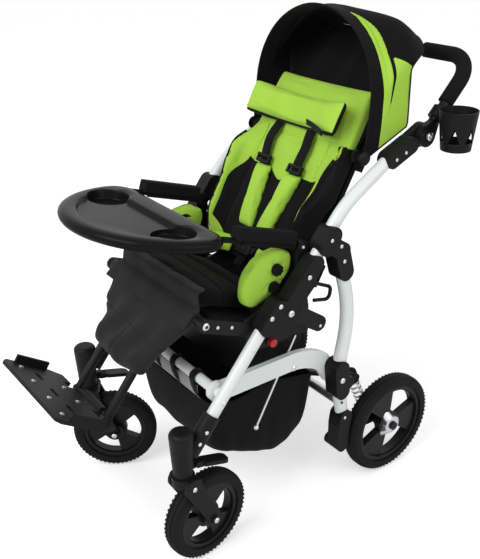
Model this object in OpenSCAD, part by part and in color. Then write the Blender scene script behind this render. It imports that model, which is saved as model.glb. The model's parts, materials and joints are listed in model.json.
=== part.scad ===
// Special needs buggy: folding tube frame, sprung rear wheels, castors and a tilting support seat.
// Side points are [y, z] in millimetres; y = 0 lies under the seat, the front faces -y, z = 0 is the floor.

/* [Wheels] */
// Front wheel diameter
front_wheel_d = 200; // [194:1:203]
// Front tyre width
front_tyre_w = 38; // [32:1:40]
// Rear wheel diameter
rear_wheel_d = 246; // [240:1:248]
// Rear tyre width
rear_tyre_w = 38; // [34:1:38]
// Height of a tyre over its rim
tyre_h = 24; // [18:1:26]
// Distance of a rear wheel from the middle plane
rear_wheel_x = 222; // [222:1:232]
// Axle diameter
axle_d = 12; // [10:1:14]
// Broad spokes in a wheel
spokes = 3; // [3:1:4]

/* [Castors] */
// Distance of the swivel axis behind the origin line
castor_y = -298; // [-300:1:-296]
// Trail of the wheel behind the swivel axis
castor_trail = 53; // [46:1:56]
// Swivel of the left castor in the rest pose
castor_turn_left = 7; // [-40:1:40]
// Swivel of the right castor in the rest pose
castor_turn_right = -33; // [-40:1:40]
// Swivel stem diameter
stem_d = 18; // [14:1:20]
// Castor housing diameter
housing_d = 50; // [46:1:54]
// Height of the castor housing top
housing_top = 333; // [325:1:345]
// Fork cheek thickness
fork_t = 7; // [5:0.5:8]

/* [Frame] */
// Distance of a side frame from the middle plane
frame_x = 208; // [208:1:212]
// Front leg tube diameter
leg_d = 26; // [24:1:27]
// Front leg slope
leg_angle = 50.3; // [50:0.1:50.6]
// Push tube diameter
push_d = 28; // [26:1:29]
// Rear leg tube diameter
rear_leg_d = 30; // [27:1:30]
// Tube wall
tube_wall = 2; // [1.5:0.5:3]
// Fold joint bolt diameter
fold_bolt_d = 12; // [10:1:14]
// Cross tube diameter
cross_d = 22; // [18:1:24]
// Depth of an arch link
arch_depth = 42; // [36:1:44]
// Coils in a rear spring
coils = 7; // [5:1:8]
// Spring wire diameter
wire_d = 5; // [4:0.5:6]

/* [Push bar] */
// Push bar tube diameter
bar_d = 22; // [20:1:23]
// Slope of the push bar
bar_angle = 45.8; // [40:0.1:48]
// Reach of the push bar from its pivot
bar_reach = 196; // [180:1:205]
// Foam grip diameter
grip_d = 33; // [30:1:36]
// Cup holder inner radius at the rim
cup_r = 38; // [35:1:40]
// Cup holder height
cup_h = 82; // [76:1:90]

/* [Seat] */
// Backward tilt of the seat unit
seat_tilt = 20; // [18:1:21]
// Recline of the back from upright
back_recline = 30; // [28:1:31]
// Half width of the seat cushion
cushion_half = 141; // [130:1:142]
// Thickness of the seat cushion
cushion_t = 48; // [40:1:50]
// Thickness of the back pad
back_t = 48; // [42:1:50]
// Radius of the hood
hood_r = 283; // [272:1:290]
// Half width of the front hood part
hood_half = 186.5; // [185:0.5:186.5]
// Hood cloth thickness with its bows
hood_t = 3.5; // [2.5:0.5:3.5]
// Radius of the tray front
tray_r = 207; // [200:1:210]
// Thickness of the tray
tray_t = 26; // [22:1:30]
// Radius of a tray cup
tray_cup_r = 43; // [36:1:44]

/* [Leg rest] */
// Slope of the leg rest from upright
leg_rest_angle = 39; // [37:1:41]
// Length from the leg rest pivot to the footplate hinge
leg_rest_length = 264; // [255:1:272]
// Upward slope of the footplate
foot_tilt = 34; // [30:1:38]
// Depth of the footplate
foot_depth = 157; // [145:1:162]
// Half width of the footplate
foot_half = 137; // [125:1:145]

/* [Hidden] */
$fn = 64;
// Radial gap of a running fit
run_gap = 0.06;
// Radial gap of a seated tube
seat_gap = 0.15;
// Gap between pieces that pass each other
pass_gap = 0.5;
// Mark that the bending tool leaves at both ends of a bend
bend_mark = 0.1;
// Step between a rounded end and the straight strip behind it
strip_in = 0.06;

front_r = front_wheel_d / 2;
rear_r = rear_wheel_d / 2;
rear_leg_x = frame_x + 2;
leg_r = leg_d / 2;
bolt_r = fold_bolt_d / 2;
plate_in = frame_x - 28;
plate_out = frame_x - 20;
joint_half = 16.5;

// Main side points
fold_pivot = [-40, 514];
leg_foot = [-240, 319];
leg_dir = [cos(leg_angle), sin(leg_angle)];
leg_sink = 22;
leg_end = 245;
push_line = [10.5, 575];
push_low = [4, 566.7];
push_bend = [110, 702];
push_end = [240, 781];
push_bend_r = 220;
bar_pivot = [326, 809];
bar_knuckle_r = 25;
rear_leg_path = [[96, 606], [138, 452], [106, 310], [128, 188]];
rear_leg_bend_r = 300;
latch = [110, 288];
swing_pivot = [118, 118];
rear_axle = [262, rear_r];
spring_top = [181, 253];
spring_low = [227, 150];
rear_cross = [121.5, 229];
front_cross = leg_foot + 69 * leg_dir;
seat_corner = [-3, 515];
recline_pivot = [20, 500];
arm_pivot = [22, 628];
arm_slope = 18;
hood_pivot = [182, 780];
hood_low = 23;
hood_seam = 68;
hood_high = 84;
tray_rear = [-160, 698];
tray_tilt = 8;
loop_pivot = [48, 541];
tilt_knob_at = [-50, 430];

function seat_point(y, z) = seat_corner + [y * cos(seat_tilt) + z * sin(seat_tilt),
    z * cos(seat_tilt) - y * sin(seat_tilt)];
function back_point(y, z) = seat_corner + [y * cos(back_recline) + z * sin(back_recline),
    z * cos(back_recline) - y * sin(back_recline)];
function leg_point(t) = leg_foot + t * leg_dir;

pan_drop = cushion_t + 0.3;
pan_t = 14;
leg_rest_pivot = seat_point(-205, -pan_drop - pan_t);
leg_rest_dir = [-sin(leg_rest_angle), -cos(leg_rest_angle)];
foot_hinge = leg_rest_pivot + leg_rest_length * leg_rest_dir;
bar_dir = [cos(bar_angle), sin(bar_angle)];
arm_dir = [-cos(arm_slope), sin(arm_slope)];
arm_up = [sin(arm_slope), cos(arm_slope)];

// The drawing is moved so that the floor point below the middle of the whole object is the origin
axle_nut = 6;
hub_over = 3;
wheel_out = rear_wheel_x + rear_tyre_w / 2 + hub_over + 0.5 + axle_nut;
cup_wall = 2.5;
cup_clear = 16;
bar_x = frame_x + 4;
cup_x = bar_x + cup_clear + cup_r;
foot_t = 8;
origin_x = (cup_x + cup_r + cup_wall - wheel_out) / 2;
front_most = foot_hinge[0] - foot_depth * cos(foot_tilt) - foot_t / 2 * sin(foot_tilt);
rear_most = bar_pivot[0] + bar_reach * bar_dir[0] + grip_d / 2;
origin_y = (front_most + rear_most) / 2;

white = [0.88, 0.9, 0.89];
black = [0.1, 0.1, 0.1];
charcoal = [0.18, 0.18, 0.19];
green = [0.64, 0.84, 0.27];
silver = [0.7, 0.71, 0.73];
red = [0.8, 0.1, 0.1];

// Helpers

function unit(v) = v / norm(v);
function turn(a, b) = atan2(a[0] * b[1] - a[1] * b[0], a * b);
function lengthen(pts, e) = let (n = len(pts) - 1)
    [for (i = [0:n]) i == 0 ? pts[0] - e * unit(pts[1] - pts[0])
        : i == n ? pts[n] + e * unit(pts[n] - pts[n - 1]) : pts[i]];

// Extrudes a [y, z] outline from x = a to x = b
module side(a, b) {
    translate([a, 0, 0]) rotate([90, 0, 90]) linear_extrude(b - a) children();
}

// Draws on the left (s = 1) or on the right (s = -1)
module hand(s) {
    mirror([s < 0 ? 1 : 0, 0, 0]) children();
}

module both() {
    for (s = [1, -1]) hand(s) children();
}

// Two discs and the straight strip between them
module link(p, q, r1, r2) {
    v = q - p;
    a = atan2(v[1], v[0]);
    b = acos((r1 - r2) / norm(v));
    translate(p) circle(r1);
    translate(q) circle(r2);
    s1 = r1 - strip_in;
    s2 = r2 - strip_in;
    polygon([p + s1 * [cos(a + b), sin(a + b)], q + s2 * [cos(a + b), sin(a + b)],
        q + s2 * [cos(a - b), sin(a - b)], p + s1 * [cos(a - b), sin(a - b)]]);
}

// Round bar along a flat path with one bend radius
module bent_bar(pts, d, r) {
    n = len(pts) - 1;
    dirs = [for (i = [0:n - 1]) unit(pts[i + 1] - pts[i])];
    trim = [for (i = [0:n]) i == 0 || i == n ? 0 : r * tan(abs(turn(dirs[i - 1], dirs[i])) / 2)];
    for (i = [0:n - 1]) {
        start = pts[i] + dirs[i] * trim[i];
        translate([start[0], start[1], 0])
            rotate([0, 0, atan2(dirs[i][1], dirs[i][0])])
                rotate([0, 90, 0])
                    cylinder(d = d, h = norm(pts[i + 1] - pts[i]) - trim[i] - trim[i + 1]);
    }
    if (n > 1) {
        for (i = [1:n - 1]) {
            swing = turn(dirs[i - 1], dirs[i]);
            inward = sign(swing) * [-dirs[i - 1][1], dirs[i - 1][0]];
            middle = pts[i] - dirs[i - 1] * trim[i] + inward * r;
            translate([middle[0], middle[1], 0])
                rotate([0, 0, atan2(-inward[1], -inward[0])])
                    rotate_extrude(angle = swing)
                        translate([r, 0]) circle(d = d);
            for (k = [-1, 0]) {
                joint = pts[i] + (2 * k + 1) * trim[i] * dirs[i + k];
                translate([joint[0], joint[1], 0])
                    rotate([0, 0, atan2(dirs[i + k][1], dirs[i + k][0])])
                        rotate([0, 90, 0])
                            cylinder(d = d + max(bend_mark, 4.4 / r), h = 2, center = true);
            }
        }
    }
}

module bent_tube(pts, d, r) {
    difference() {
        bent_bar(pts, d, r);
        bent_bar(lengthen(pts, 1), d - 2 * tube_wall, r);
    }
}

// Places a flat path in the side plane at x
module in_side(x) {
    translate([x, 0, 0]) rotate([90, 0, 90]) children();
}

// Round bar across the object from x = a to x = b
module across(p, a, b, r) {
    translate([a, p[0], p[1]]) rotate([0, 90, 0]) cylinder(r = r, h = b - a);
}

module at_seat() {
    translate([0, seat_corner[0], seat_corner[1]]) rotate([-seat_tilt, 0, 0]) children();
}

module at_back() {
    translate([0, seat_corner[0], seat_corner[1]]) rotate([-back_recline, 0, 0]) children();
}

module at_leg_rest() {
    translate([0, leg_rest_pivot[0], leg_rest_pivot[1]]) rotate([-leg_rest_angle, 0, 0]) children();
}

module at_foot() {
    translate([0, foot_hinge[0], foot_hinge[1]]) rotate([-foot_tilt, 0, 0]) children();
}

module at_tray() {
    translate([0, tray_rear[0], tray_rear[1]]) rotate([-tray_tilt, 0, 0]) children();
}

module at_arm(x) {
    translate([x, arm_pivot[0], arm_pivot[1]]) rotate([-arm_slope, 0, 0]) rotate([90, 0, 0]) children();
}

// Closed padded skin: point(u, v, s) gives the front (s = 1) and the back (s = -1)
module padded(nu, nv, point) {
    row = nu + 1;
    layer = row * (nv + 1);
    spots = [for (s = [1, -1]) for (j = [0:nv]) for (i = [0:nu]) point(2 * i / nu - 1, 2 * j / nv - 1, s)];
    front = [for (j = [0:nv - 1]) for (i = [0:nu - 1]) let (a = j * row + i)
        each [[a, a + row, a + 1], [a + 1, a + row, a + row + 1]]];
    back = [for (f = front) [f[0] + layer, f[2] + layer, f[1] + layer]];
    rim = concat([for (i = [0:nu]) i], [for (j = [1:nv]) j * row + nu],
        [for (i = [1:nu]) nv * row + nu - i], [for (j = [1:nv - 1]) (nv - j) * row]);
    edge = [for (k = [0:len(rim) - 1]) let (a = rim[k], b = rim[(k + 1) % len(rim)])
        each [[a, b, a + layer], [b, b + layer, a + layer]]];
    polyhedron(spots, concat(front, back, edge));
}

function smooth(a, b, t) = let (k = max(0, min(1, (t - a) / (b - a)))) k * k * (3 - 2 * k);
function groove(t, at, w) = exp(-pow((t - at) / w, 2));
// Grid line spacing that gathers towards the border
function gather(t) = sin(90 * t);

// Wheels, drawn round the z axis

rim_t = 10;
web_t = 18;
hub_r = 21;
spoke_turn = 54;
front_spin = 96.6;
rear_spin = 20.6;

module wheel_rim(d, w, spin) {
    r = d / 2 - tyre_h - seat_gap;
    window_r = r - rim_t - 3;
    difference() {
        union() {
            rotate_extrude() translate([r - rim_t, 4 - w / 2]) square([rim_t, w - 8]);
            translate([0, 0, -web_t / 2]) linear_extrude(web_t) difference() {
                circle(r - rim_t / 2);
                for (k = [0:spokes - 1]) rotate(360 / spokes * k + spin) intersection() {
                    difference() {
                        circle(window_r);
                        circle(hub_r + 8);
                    }
                    half = (360 / spokes - spoke_turn) / 2;
                    polygon([[0, 0], d * [cos(half), -sin(half)], d * [cos(half), sin(half)]]);
                }
            }
            cylinder(r = hub_r, h = w + 2 * hub_over, center = true);
        }
        cylinder(d = axle_d + 2 * run_gap, h = 2 * w, center = true);
    }
}

module wheel_tyre(d, w) {
    r = d / 2 - tyre_h;
    round_r = 14;
    tread_gap = 2;
    rotate_extrude() difference() {
        union() {
            translate([r, -w / 2]) square([tyre_h - round_r, w]);
            translate([r, round_r - w / 2]) square([tyre_h, w - 2 * round_r]);
            for (s = [1, -1]) translate([d / 2 - round_r, s * (w / 2 - round_r)]) circle(round_r);
        }
        translate([r - round_r, -w]) square([round_r, 2 * w]);
        for (s = [1, -1]) translate([d / 2 - tread_gap, s * w / 6 - tread_gap / 2]) square([3, tread_gap]);
    }
}

// Front frame

module front_legs() {
    color(white) both() in_side(frame_x)
        bent_tube([leg_point(-leg_sink), leg_point(leg_end)], leg_d, 0);
}

module leg_seat() {
    in_side(frame_x) bent_bar([leg_point(-leg_sink - 0.3), leg_point(leg_end + 0.3)], leg_d + 2 * seat_gap, 0);
}

module front_cross_tube() {
    reach = arch_in - 0.3;
    color(white) difference() {
        across(front_cross, -reach, reach, cross_d / 2);
        across(front_cross, -reach - 1, reach + 1, cross_d / 2 - tube_wall);
    }
}

// Outline of the lower half of the fold joint, grown by g
module lower_outline(g) {
    link(leg_point(228), leg_point(275), 17 + g, 17 + g);
    link(leg_point(275), fold_pivot, 17 + g, 24 + g);
    link(leg_point(234), fold_pivot, 15 + g, 24 + g);
}

tongue_half = 7.7;

module joint_lowers() {
    slot_half = tongue_half + 0.3;
    color(black) both() {
        difference() {
            side(frame_x - joint_half, frame_x + joint_half) lower_outline(0);
            leg_seat();
            side(frame_x - slot_half, frame_x + slot_half) translate(fold_pivot) circle(30);
        }
        across(fold_pivot, plate_in - 3, frame_x + joint_half + 3, bolt_r);
    }
}

lock_pivot = [castor_y + 32, 243];
housing_low = front_wheel_d + 28.5;

module castor_housings() {
    round_r = 11;
    r = housing_d / 2;
    h = housing_top - housing_low;
    color(black) both() difference() {
        union() {
            translate([frame_x, castor_y, housing_low]) rotate_extrude() {
                square([r - round_r, h]);
                polygon([[0, 0], [r - 5, 0], [r, h - round_r], [0, h - round_r]]);
                translate([r - round_r, h - round_r]) circle(round_r);
            }
            in_side(frame_x) bent_bar([leg_point(-62), leg_point(26)], leg_d + 9, 0);
            side(frame_x - 5, frame_x + 5) link([castor_y + 16, 243], lock_pivot, 9, 8);
        }
        leg_seat();
        translate([frame_x, castor_y, housing_low - 1])
            cylinder(d = stem_d + 2 * run_gap, h = h - 18);
        across(lock_pivot, frame_x - 6, frame_x + 6, 3 + run_gap);
    }
}

arch_in = frame_x - 30;
arch_out = frame_x - 17.5;
arch_bend_r = 150;

// Flat bar with its front end on the leg and a hook over the latch bolt at its rear end
module arch_link() {
    half = arch_depth / 2;
    front = front_cross;
    knee = [front[0] + 188, front[1] - 3];
    drop = 38;
    run = 96;
    slide_out = unit([latch[1] - fold_pivot[1], fold_pivot[0] - latch[0]]);
    across_out = [-slide_out[1], slide_out[0]];
    hook_r = 17;
    color(white) {
        difference() {
            side(arch_in, arch_out) {
                translate(front) circle(half);
                translate([front[0], knee[1] - half + 0.3]) square([knee[0] - front[0] + 4, arch_depth - 0.6]);
                translate(knee - [0, arch_bend_r]) rotate(90 - drop) {
                    difference() {
                        intersection() {
                            circle(arch_bend_r + half);
                            polygon([[0, 0], [300, 0], 300 * [1, tan(drop)]]);
                        }
                        circle(arch_bend_r - half);
                    }
                }
                link(knee - [0, arch_bend_r] + arch_bend_r * [sin(drop - 1), cos(drop - 1)], latch, half - 0.4, hook_r);
            }
            side(arch_in - 1, arch_out + 1) {
                translate(latch) circle(bolt_r + 0.3);
                polygon([latch + (bolt_r + 0.2) * across_out, latch - (bolt_r + 0.2) * across_out,
                    latch + 40 * slide_out - 11 * across_out, latch + 40 * slide_out + 11 * across_out]);
            }
        }
        difference() {
            across(front, arch_out - 1, frame_x, 11);
            leg_seat();
        }
    }
}

module arch_link_left() {
    arch_link();
}

module arch_link_right() {
    hand(-1) arch_link();
}

basket_half = 152;

function basket_rim(y) = 318 - (y + 200) * 0.28;
function basket_floor(y) = 89 + 0.46 * norm([y, 20]);

// Cloth bag hung from the front cross tube, open on top
module basket() {
    front_y = -196;
    rear_y = 100;
    cloth = 4;
    skin = function(u, v, s) let (
        a = gather(u), b = gather(v),
        y = (front_y + rear_y) / 2 + b * (rear_y - front_y) / 2 * (1 - 0.05 * a * a),
        x = a * basket_half * (1 - 0.06 * b * b),
        deep = (1 - pow(a, 18)) * (1 - pow(b, 18)),
        fold = 3 * sin(540 * a) * smooth(0.55, 0.9, abs(b)) * deep,
        z = basket_rim(y) - (basket_rim(y) - basket_floor(y)) * deep + fold
    ) [x, y, z + (s > 0 ? cloth : 0)];
    sleeve_half = 120;
    color(black) {
        padded(16, 16, skin);
        difference() {
            union() {
                across(front_cross, -sleeve_half, sleeve_half, cross_d / 2 + 3);
                side(-sleeve_half, sleeve_half)
                    polygon([front_cross + [-13, 0], front_cross + [-9, 0], [front_y + 8, 316], [front_y + 3, 316]]);
            }
            across(front_cross, -200, 200, cross_d / 2 + 0.3);
        }
    }
}

// Front castors, drawn round the swivel axis with the wheel trailing towards +y

module at_castor(s) {
    translate([s * frame_x, castor_y, 0])
        rotate([0, 0, s > 0 ? castor_turn_left : castor_turn_right]) children();
}

fork_in = front_tyre_w / 2 + hub_over + 1;
fork_out = fork_in + fork_t;

module castor_fork(s) {
    crown_low = front_wheel_d + 6;
    bridge_z = front_wheel_d + 16;
    color(black) at_castor(s) {
        translate([0, 0, crown_low]) cylinder(r = 24, h = 22);
        translate([0, 0, crown_low]) cylinder(d = stem_d, h = housing_top - crown_low - 24);
        side(0.5 - fork_out, fork_out - 0.5) link([-4, bridge_z], [16, bridge_z - 1.5], 9.5, 9);
        for (k = [0, 1]) mirror([k, 0, 0]) side(fork_in, fork_out) {
            link([4, bridge_z - 11], [castor_trail, front_r], 21, 13);
        }
        across([castor_trail, front_r], -fork_out - 5, fork_out + 5, axle_d / 2);
        for (k = [0, 1]) mirror([k, 0, 0]) across([castor_trail, front_r], fork_out, fork_out + 4, 9);
    }
}

module castor_fork_left() {
    castor_fork(1);
}

module castor_fork_right() {
    castor_fork(-1);
}

module at_front_wheel(s) {
    at_castor(s) translate([0, castor_trail, front_r]) rotate([0, 90, 0]) children();
}

module front_rim_left() {
    color(charcoal) at_front_wheel(1) wheel_rim(front_wheel_d, front_tyre_w, front_spin);
}

module front_rim_right() {
    color(charcoal) at_front_wheel(-1) wheel_rim(front_wheel_d, front_tyre_w, front_spin);
}

module front_tyre_left() {
    color(black) at_front_wheel(1) wheel_tyre(front_wheel_d, front_tyre_w);
}

module front_tyre_right() {
    color(black) at_front_wheel(-1) wheel_tyre(front_wheel_d, front_tyre_w);
}

// Lever that locks a castor straight ahead
module castor_lock() {
    heel = lock_pivot + [16, -5];
    toe = lock_pivot + [70, -21];
    color(charcoal) {
        intersection() {
            side(frame_x - 14, frame_x + 14) link(heel, toe, 4.5, 4.5);
            translate([frame_x, 0, lock_pivot[1] - 60]) linear_extrude(120) {
                translate([-14, heel[0] - 20]) square([28, toe[0] - heel[0] + 11]);
                translate([0, toe[0] - 9]) circle(14);
            }
        }
        for (k = [-1, 1]) {
            a = frame_x + k * 8.2;
            side(a - 2.8, a + 2.8) link(lock_pivot, heel, 7, 4.5);
        }
        across(lock_pivot, frame_x - 11, frame_x + 11, 3);
    }
}

module castor_lock_left() {
    castor_lock();
}

module castor_lock_right() {
    hand(-1) castor_lock();
}

// Rear frame

module push_solid(d) {
    in_side(frame_x) bent_bar([push_low, push_bend, push_end], d, push_bend_r);
}

module push_tube() {
    color(white) in_side(frame_x) bent_tube([push_low, push_bend, push_end], push_d, push_bend_r);
}

module push_tube_left() {
    push_tube();
}

module push_tube_right() {
    hand(-1) push_tube();
}

module push_seat() {
    in_side(frame_x) bent_bar(lengthen([push_low, push_bend, push_end], 0.3), push_d + 2 * seat_gap, push_bend_r);
}

module joint_uppers() {
    low = push_line + [-25, -32];
    high = push_line + [19, 25];
    color(black) both() difference() {
        union() {
            difference() {
                side(frame_x - joint_half, frame_x + joint_half) {
                    link(low, high, 19, 18);
                    link(fold_pivot, high, 24, 18);
                }
                side(frame_x - joint_half - 1, frame_x + joint_half + 1) lower_outline(pass_gap);
            }
            side(frame_x - tongue_half, frame_x + tongue_half) link(fold_pivot, low, 21, 15);
        }
        push_seat();
        across(fold_pivot, frame_x - 20, frame_x + 20, bolt_r + run_gap);
    }
}

module rear_leg_seat() {
    in_side(rear_leg_x) bent_bar(lengthen(rear_leg_path, 0.3), rear_leg_d + 2 * seat_gap, rear_leg_bend_r);
}

bracket_in = frame_x - joint_half;
bracket_out = rear_leg_x + 19;

module leg_brackets() {
    color(black) both() difference() {
        side(bracket_in, bracket_out) {
            link([54, 631], [70, 651], 19, 19.4);
            link([60, 638], [94, 612], 17, 20);
            link([94, 610], [107, 562], 19.5, 19);
        }
        push_seat();
        rear_leg_seat();
    }
}

module rear_leg() {
    color(white) in_side(rear_leg_x) bent_tube(rear_leg_path, rear_leg_d, rear_leg_bend_r);
}

module rear_leg_left() {
    rear_leg();
}

module rear_leg_right() {
    hand(-1) rear_leg();
}

spring_dir = unit(spring_low - spring_top);
spring_length = norm(spring_low - spring_top);
spring_r = 11;
spring_x = frame_x - 22;

module suspension_tops() {
    color(black) both() difference() {
        union() {
            side(bracket_in, bracket_out) {
                link([107, 326], [112, 268], 20, 19.5);
                link([112, 290], [130, 286], 17, 14);
            }
            side(bracket_in + 0.5, spring_x + spring_r + 3) link([128, 286], spring_top - 12 * spring_dir, 13.5, 12);
            in_side(spring_x) bent_bar([spring_top - 26 * spring_dir, spring_top], 2 * spring_r + 8, 0);
            across(latch, arch_in - 1, bracket_in + 4, bolt_r);
        }
        rear_leg_seat();
    }
}

module suspension_feet() {
    color(black) both() difference() {
        union() {
            side(bracket_in + 0.5, bracket_out - 0.5) {
                link([125, 194], [121, 172], 18, 17.4);
                link([121, 172], swing_pivot, 17, 15);
            }
            across(swing_pivot, frame_x - 31, bracket_in + 4, axle_d / 2);
        }
        rear_leg_seat();
    }
}

module rear_cross_tube() {
    reach = rear_leg_x - rear_leg_d / 2 - 0.3;
    color(silver) difference() {
        across(rear_cross, -reach, reach, cross_d / 2);
        across(rear_cross, -reach - 1, reach + 1, cross_d / 2 - tube_wall);
    }
}

clamp_face = frame_x - 0.4;

module handle_clamps() {
    heel = [229, 774.5];
    neck = [282, 797];
    color(black) both() {
        difference() {
            union() {
                side(frame_x - joint_half, frame_x + joint_half) link(heel, neck, 17, 17);
                side(frame_x - joint_half + 0.4, clamp_face) link(neck + [3, 1], bar_pivot, 16.4, bar_knuckle_r);
            }
            push_seat();
        }
        across(bar_pivot, frame_x - 4, frame_x + 19, bolt_r);
    }
}

// Rear suspension and wheels

arm_in = frame_x - 28;
arm_out = bracket_in - 0.2;

module swing_arm() {
    seat = spring_low + 4 * spring_dir;
    out = rear_wheel_x + rear_tyre_w / 2 + hub_over + 0.5;
    color(black) difference() {
        union() {
            side(arm_in, arm_out) {
                link(swing_pivot, [200, 124], 15, 14);
                link([200, 124], rear_axle, 14.4, 16);
            }
            in_side(spring_x) bent_bar([spring_low + 0.3 * spring_dir, spring_low + 9 * spring_dir], 2 * spring_r + 8, 0);
            side(arm_in, arm_out - 0.5) link(seat, [218, 128], 9, 13);
            across(rear_axle, arm_in, out + 2, axle_d / 2);
            across(rear_axle, arm_out - 1, rear_wheel_x - rear_tyre_w / 2 - hub_over - 0.5, 10);
            across(rear_axle, out, out + axle_nut, 10);
        }
        across(swing_pivot, arm_in - 1, arm_out + 1, axle_d / 2 + run_gap);
    }
}

module swing_arm_left() {
    swing_arm();
}

module swing_arm_right() {
    hand(-1) swing_arm();
}

ring_steps = 8;
wire_sides = 6;
coil_points = [for (i = [0:coils * ring_steps]) let (a = 360 / ring_steps * i)
    [spring_r * cos(a), spring_r * sin(a), wire_d / 2 + 0.4
        + (spring_length - wire_d - 0.8) * i / (coils * ring_steps)]];
coil_gap = min([for (i = [0:len(coil_points) - 1]) for (j = [i + 5:1:len(coil_points) - 1])
    norm(coil_points[i] - coil_points[j])]) - wire_d;
echo(least_coil_gap = coil_gap);

// One unbroken wire wound round the z axis
module coil() {
    n = len(coil_points) - 1;
    rise = (spring_length - wire_d) / coils;
    rings = [for (i = [0:n]) let (
        a = 360 / ring_steps * i,
        radial = [cos(a), sin(a), 0],
        along = unit([-sin(a) * 2 * PI * spring_r, cos(a) * 2 * PI * spring_r, rise]),
        up = cross(along, radial)
    ) for (k = [0:wire_sides - 1]) coil_points[i]
        + wire_d / 2 * (cos(360 / wire_sides * k) * radial + sin(360 / wire_sides * k) * up)];
    faces = concat(
        [[for (k = [0:wire_sides - 1]) k]],
        [for (i = [0:n - 1]) for (k = [0:wire_sides - 1]) let (
            a = i * wire_sides + k, b = i * wire_sides + (k + 1) % wire_sides)
            each [[a, a + wire_sides, b], [b, a + wire_sides, b + wire_sides]]],
        [[for (k = [0:wire_sides - 1]) n * wire_sides + wire_sides - 1 - k]]);
    polyhedron(rings, faces);
}

module spring() {
    color(charcoal) translate([spring_x, spring_top[0], spring_top[1]])
        rotate([atan2(spring_dir[1], spring_dir[0]) - 90, 0, 0]) coil();
}

module spring_left() {
    spring();
}

module spring_right() {
    hand(-1) spring();
}

module at_rear_wheel(s) {
    translate([s * rear_wheel_x, rear_axle[0], rear_axle[1]]) rotate([0, 90, 0]) children();
}

module rear_rim_left() {
    color(charcoal) at_rear_wheel(1) wheel_rim(rear_wheel_d, rear_tyre_w, rear_spin);
}

module rear_rim_right() {
    color(charcoal) at_rear_wheel(-1) wheel_rim(rear_wheel_d, rear_tyre_w, rear_spin);
}

module rear_tyre_left() {
    color(black) at_rear_wheel(1) wheel_tyre(rear_wheel_d, rear_tyre_w);
}

module rear_tyre_right() {
    color(black) at_rear_wheel(-1) wheel_tyre(rear_wheel_d, rear_tyre_w);
}

module brake_pedal() {
    tread = rear_cross + [74, -32];
    color(black) difference() {
        union() {
            across(rear_cross, -20, 20, cross_d / 2 + 6);
            side(-12, 12) link(rear_cross, tread, 12, 6);
            side(-55, 55) link(tread + [-28, 12], tread, 6, 6);
        }
        across(rear_cross, -60, 60, cross_d / 2 + run_gap);
    }
}

// Push bar, drawn in the plane of the bar with y along its reach

module at_bar() {
    translate([0, bar_pivot[0], bar_pivot[1]]) rotate([bar_angle, 0, 0]) children();
}

bar_corner_r = 60;
bar_start = 28;
grip_start = 82;
grip_over = 75;

module push_bar() {
    hub_in = frame_x;
    hub_out = frame_x + 14;
    color(black) {
        difference() {
            at_bar() bent_tube([[bar_x, bar_start], [bar_x, bar_reach], [-bar_x, bar_reach], [-bar_x, bar_start]],
                bar_d, bar_corner_r);
            both() across(bar_pivot, hub_in - 30, hub_out + 30, bar_knuckle_r + 1);
        }
        both() difference() {
            side(hub_in, hub_out) link(bar_pivot, bar_pivot + 31 * bar_dir, bar_knuckle_r - 1, 10);
            across(bar_pivot, hub_in - 1, hub_out + 1, bolt_r + run_gap);
        }
    }
}

module handle_grips() {
    path = [[bar_x, grip_start], [bar_x, bar_reach], [bar_x - bar_corner_r - grip_over, bar_reach]];
    color(charcoal) both() at_bar() difference() {
        bent_bar(path, grip_d, bar_corner_r);
        bent_bar(lengthen(path, 1), bar_d + 2 * seat_gap, bar_corner_r);
    }
}

cup_hold = 54;

module cup_holder() {
    ring_at = bar_pivot + cup_hold * bar_dir;
    cup_z = ring_at[1] - 64;
    low_r = cup_r - 9;
    windows = 6;
    color(black) {
        difference() {
            union() {
                at_bar() translate([bar_x, cup_hold - 12, 0]) rotate([-90, 0, 0]) cylinder(d = bar_d + 13, h = 24);
                translate([bar_x + 8, ring_at[0] - 12, ring_at[1] - 12]) cube([cup_clear - 3, 24, 22]);
            }
            at_bar() translate([bar_x, 0, 0]) rotate([-90, 0, 0]) cylinder(d = bar_d + 2 * seat_gap, h = 200);
            translate([cup_x, ring_at[0], cup_z]) cylinder(r1 = low_r, r2 = cup_r, h = cup_h);
        }
        translate([cup_x, ring_at[0], cup_z]) difference() {
            cylinder(r1 = low_r + cup_wall, r2 = cup_r + cup_wall, h = cup_h);
            translate([0, 0, 3]) cylinder(r1 = low_r, r2 = cup_r, h = cup_h - 2.9);
            for (k = [0:windows - 1]) rotate(360 / windows * k)
                translate([0, 0, 18]) rotate([90, 0, 90]) linear_extrude(cup_r + 10)
                    polygon([[-12, 0], [12, 0], [0, 34]]);
        }
    }
}

// Seat unit

pin_r = 6;

// Cover of the tilt gear: four thin walls under the seat pan, open below
module tilt_cover() {
    half = plate_in - 29;
    wall = 3.5;
    front_y = -109;
    long = 163;
    low = 352;
    difference() {
        translate([-half, front_y, low]) cube([2 * half, long, 150]);
        translate([wall - half, front_y + wall, low - 1]) cube([2 * (half - wall), long - 2 * wall, 200]);
        at_seat() translate([-half - 10, -300, -pan_drop - pan_t / 2]) cube([2 * half + 20, 500, 200]);
    }
}

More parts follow.
